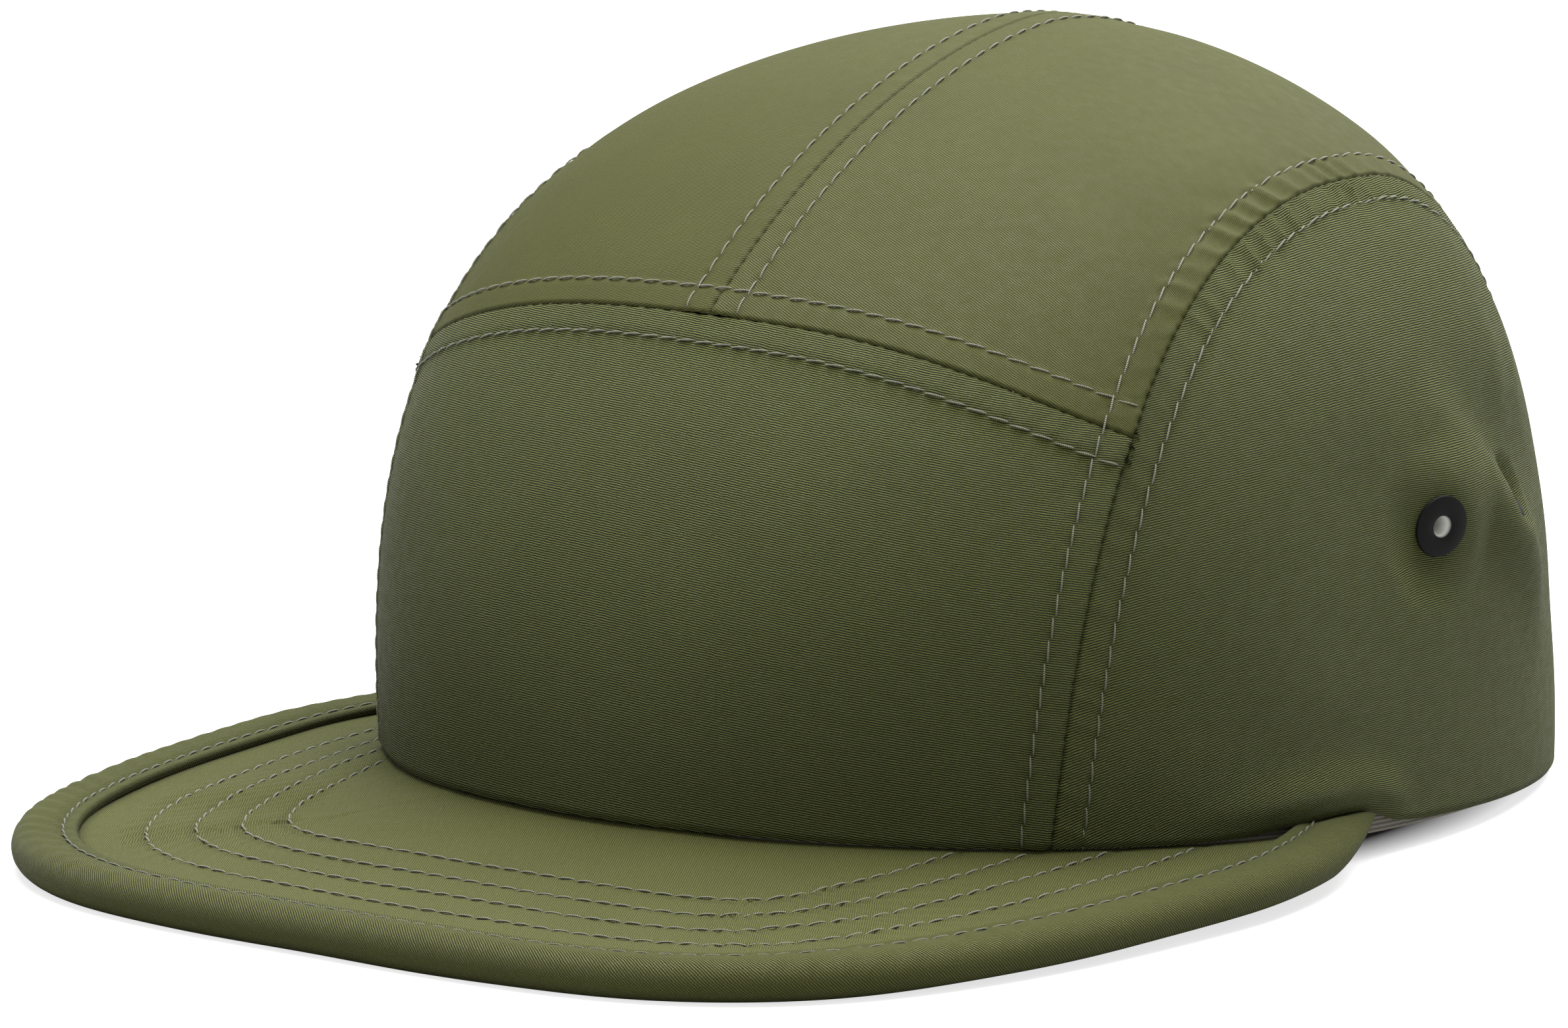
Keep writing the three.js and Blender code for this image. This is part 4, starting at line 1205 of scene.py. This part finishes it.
def woven(name, light, shade_colour, rib, yarn, depth):
    """A cloth by its threads' colour, the colour of painted shade in its grooves, its spacings and its
    grooves' depth.
    """
    made, nodes, shader = material(name, CLOTH_FINISH)
    uv = uv_map(nodes)
    sockets = {"Vector": uv, "Rib Spacing": rib, "Yarn Spacing": yarn}
    weave = nodes.add("ShaderNodeGroup", sockets, node_tree=RIBBED_WEAVE).outputs
    sockets = {"Vector": uv, "Light": (*light, 1), "Groove Shade": (*shade_colour, 1), "Shade": weave["Shade"],
               "Crease Shade": stored(nodes, "crease_shade")}
    tone = nodes.add("ShaderNodeGroup", sockets, node_tree=CLOTH_TONE).outputs
    nodes.feed(shader, {"Base Color": tone["Color"], "Roughness": tone["Roughness"],
                        "Normal": bumped(nodes, weave["Height"], depth)})
    return made


def olive_nylon(name, ribs, groove_shade, depth):
    """The shell cloth: its ribs' colour, the painted shade in its grooves as a share of that and how
    deep they are.
    """
    return woven(name, ribs, [groove_shade * part for part in ribs], RIB_SPACING, YARN_SPACING, depth)


def thread_material(name, shade_colour, light):
    made, nodes, shader = material(name, {"Roughness": 0.55, "Sheen Weight": 0.2})
    along, around = nodes.split(uv_map(nodes))[:2]
    # Painted shade: the ply stripes darken the thread between its twisted plies.
    ply_shade = nodes.wave(nodes.math("ADD", along, around))
    nodes.feed(shader, {"Base Color": nodes.mix(ply_shade, (*shade_colour, 1), (*light, 1)),
                        "Normal": bumped(nodes, ply_shade, 0.08 * MM)})
    return made


def black_paint(name, roughness, grain, has_bare_bore_highlight=False):
    made, nodes, shader = material(name, {"Specular IOR Level": 0.1})
    fine = nodes.noise(nodes.add("ShaderNodeTexCoord").outputs["Object"], grain, 3.0, 0.6)
    paint = nodes.mix(fine, (0.0024, 0.0024, 0.0023, 1), (0.0055, 0.0055, 0.0052, 1))
    # Bare metal in the bore, painted pale as a highlight.
    if has_bare_bore_highlight:
        paint = nodes.mix(stored(nodes, "bare_bore_highlight"), paint, (0.62, 0.62, 0.58, 1))
    nodes.feed(shader, {"Base Color": paint,
                        "Roughness": nodes.remap(fine, 0.3, 0.7, roughness - 0.06, roughness + 0.06),
                        "Normal": bumped(nodes, fine, 0.02 * MM, 0.5)})
    return made


# Assembly

# Painted light and shade: the shell is one nylon, and its copies differ to stand in for light. The
# front and sides get the deepest painted shade in their grooves, the top's ribs are painted darker, and
# the brim's and binding's ribs darker with lighter grooves. Their bump depths differ too.
NYLON = olive_nylon("olive ribbed nylon", (0.108, 0.1225, 0.029), 0.06, 0.36 * MM)
BINDING_SHADED_NYLON = olive_nylon("olive ribbed nylon, painted light and shade for the binding", (0.086, 0.0935, 0.022), 0.36, 0.3 * MM)
BRIM_SHADED_NYLON = olive_nylon("olive ribbed nylon, painted light and shade for the brim", (0.089, 0.096, 0.024), 0.56, 0.26 * MM)
TOP_SHADED_NYLON = olive_nylon("olive ribbed nylon, painted shade for the top", (0.0535, 0.0575, 0.0128), 0.72, 0.09 * MM)
BAND_TWILL = woven("grey beige twill", (0.2, 0.19, 0.155), (0.09, 0.086, 0.07), 0.7, 0.5, 0.1 * MM)
STRAP_WEB = woven("olive webbing", (0.09, 0.095, 0.035), (0.03, 0.033, 0.012), 1.3, 0.9, 0.18 * MM)
THREAD_FINISH = thread_material("olive grey thread", (0.043, 0.045, 0.026), (0.14, 0.143, 0.09))
BINDING_THREAD = thread_material("olive thread", (0.03, 0.032, 0.017), (0.075, 0.078, 0.04))
EYELET_PAINT = black_paint("matte black paint", 0.55, 2200, has_bare_bore_highlight=True)
CLASP_PLASTIC = black_paint("black plastic", 0.42, 1400)

crown = [front_panel()]
wear(crown[0], NYLON, "shell_cloth", "front_panel")
for side, sign in SIDES.items():
    seats = [eyelet_seat(f"eyelet_{side}_{place}", sign, *seat) for place, seat in EYELETS.items()]
    crown += [side_panel(side, sign, seats), top_panel(side, sign)]
    wear(crown[-2], NYLON, "shell_cloth", f"side_panel_{side}")
    wear(crown[-1], TOP_SHADED_NYLON, "shell_cloth", f"top_panel_{side}")
    for seat in seats:
        wear(eyelet(seat), EYELET_PAINT, "eyelet_metal", seat["name"])

wear(stitches("crown_stitches", crown_rows(), CROWN_SKEW, crown), THREAD_FINISH, "shell_cloth")
for piece in crown:
    wall(piece, CLOTH)

board = brim()
roll = binding()
wear(board, BRIM_SHADED_NYLON, "shell_cloth", "brim")
wear(roll, BINDING_SHADED_NYLON, "shell_cloth", "brim_binding")
board_rows = [brim_row(distance) for distance in BRIM_ROWS]
wear(stitches("brim_stitches", board_rows, BRIM_SKEW, [board, roll]), THREAD_FINISH, "shell_cloth")
roll_rows = [brim_row(BINDING_STITCH)]
wear(stitches("binding_stitches", roll_rows, BRIM_SKEW, [roll]), BINDING_THREAD, "shell_cloth")
wall(board, BOARD)

band = sweatband()
wall(band, BAND_THICKNESS)
wear(band, BAND_TWILL, "band_twill", "sweatband")
web = strap()
wall(web, STRAP_THICKNESS)
wear(web, STRAP_WEB, "strap_web", "back_strap")
wear(clasp(), CLASP_PLASTIC, "clasp_plastic", "strap_clasp")


# Floor, light and camera

def floor():
    """A pale floor, which glows a little for the camera beyond the crown's outline."""
    deselect()
    bpy.ops.mesh.primitive_plane_add(size=12)
    piece = bpy.context.object
    piece.name = "floor"
    made, nodes, shader = material("pale floor", {"Roughness": 0.9, "Specular IOR Level": 0.1,
                                                  "Emission Color": (1, 1, 1, 1)})
    where = nodes.add("ShaderNodeTexCoord").outputs["Object"]
    grain = nodes.remap(nodes.noise(where, 40.0), 0.3, 0.7, 0.35, 0.36)
    grey = nodes.add("ShaderNodeCombineColor", {0: grain, 1: grain, 2: grain}).outputs[0]
    x, y = nodes.split(where)[:2]
    across = nodes.math("DIVIDE", x, HALF_WIDTH)
    along = nodes.math("DIVIDE", nodes.math("SUBTRACT", y, CAP_ORIGIN[1]), HALF_LENGTH)
    reach = nodes.math("ADD", nodes.times(across, across), nodes.times(along, along))
    beyond = nodes.remap(reach, 0.75, 0.95, 0.0, FLOOR_GLOW)
    seen = nodes.add("ShaderNodeLightPath").outputs["Is Camera Ray"]
    nodes.feed(shader, {"Base Color": grey, "Emission Strength": nodes.times(seen, beyond)})
    piece.data.materials.append(made)


def stand(name, data, azimuth, elevation, distance, aim=(0, 0, 0), roll=0.0):
    """Links a lamp or camera that looks at a point from an azimuth and an elevation."""
    level = math.cos(elevation)
    out = Vector((math.sin(azimuth) * level, -math.cos(azimuth) * level, math.sin(elevation)))
    piece = bpy.data.objects.new(name, data)
    bpy.context.collection.objects.link(piece)
    piece.location = Vector(aim) + out * distance
    facing = out.to_track_quat("Z", "Y").to_matrix() @ Matrix.Rotation(roll, 3, "Z")
    piece.rotation_euler = facing.to_euler()
    return piece


def softbox(name, azimuth, elevation, distance, size, power):
    """A square light over the floor, looking at the cap. Its angles are in degrees."""
    data = bpy.data.lights.new(name, "AREA")
    data.energy = power
    data.size = size
    stand(name, data, math.radians(azimuth), math.radians(elevation), distance)


def light():
    world = bpy.data.worlds.new("studio")
    world.use_nodes = True
    background = world.node_tree.nodes["Background"].inputs
    background["Color"].default_value = (1, 1, 1, 1)
    background["Strength"].default_value = WORLD_STRENGTH
    bpy.context.scene.world = world
    softbox("top softbox", 188, 74, 4.0, 4.0, 650)
    softbox("front fill", 20, 22, 3.0, 2.0, 14)


def camera():
    data = bpy.data.cameras.new("camera")
    data.sensor_width = SENSOR_WIDTH
    data.lens = CAMERA_LENS
    data.clip_end = 50
    shot = stand("camera", data, CAMERA_AZIMUTH, CAMERA_ELEVATION, CAMERA_DISTANCE,
                 CAP_ORIGIN + CAMERA_AIM, CAMERA_ROLL)
    bpy.context.scene.camera = shot


floor()
light()
camera()
bpy.context.scene.view_settings.view_transform = "Standard"
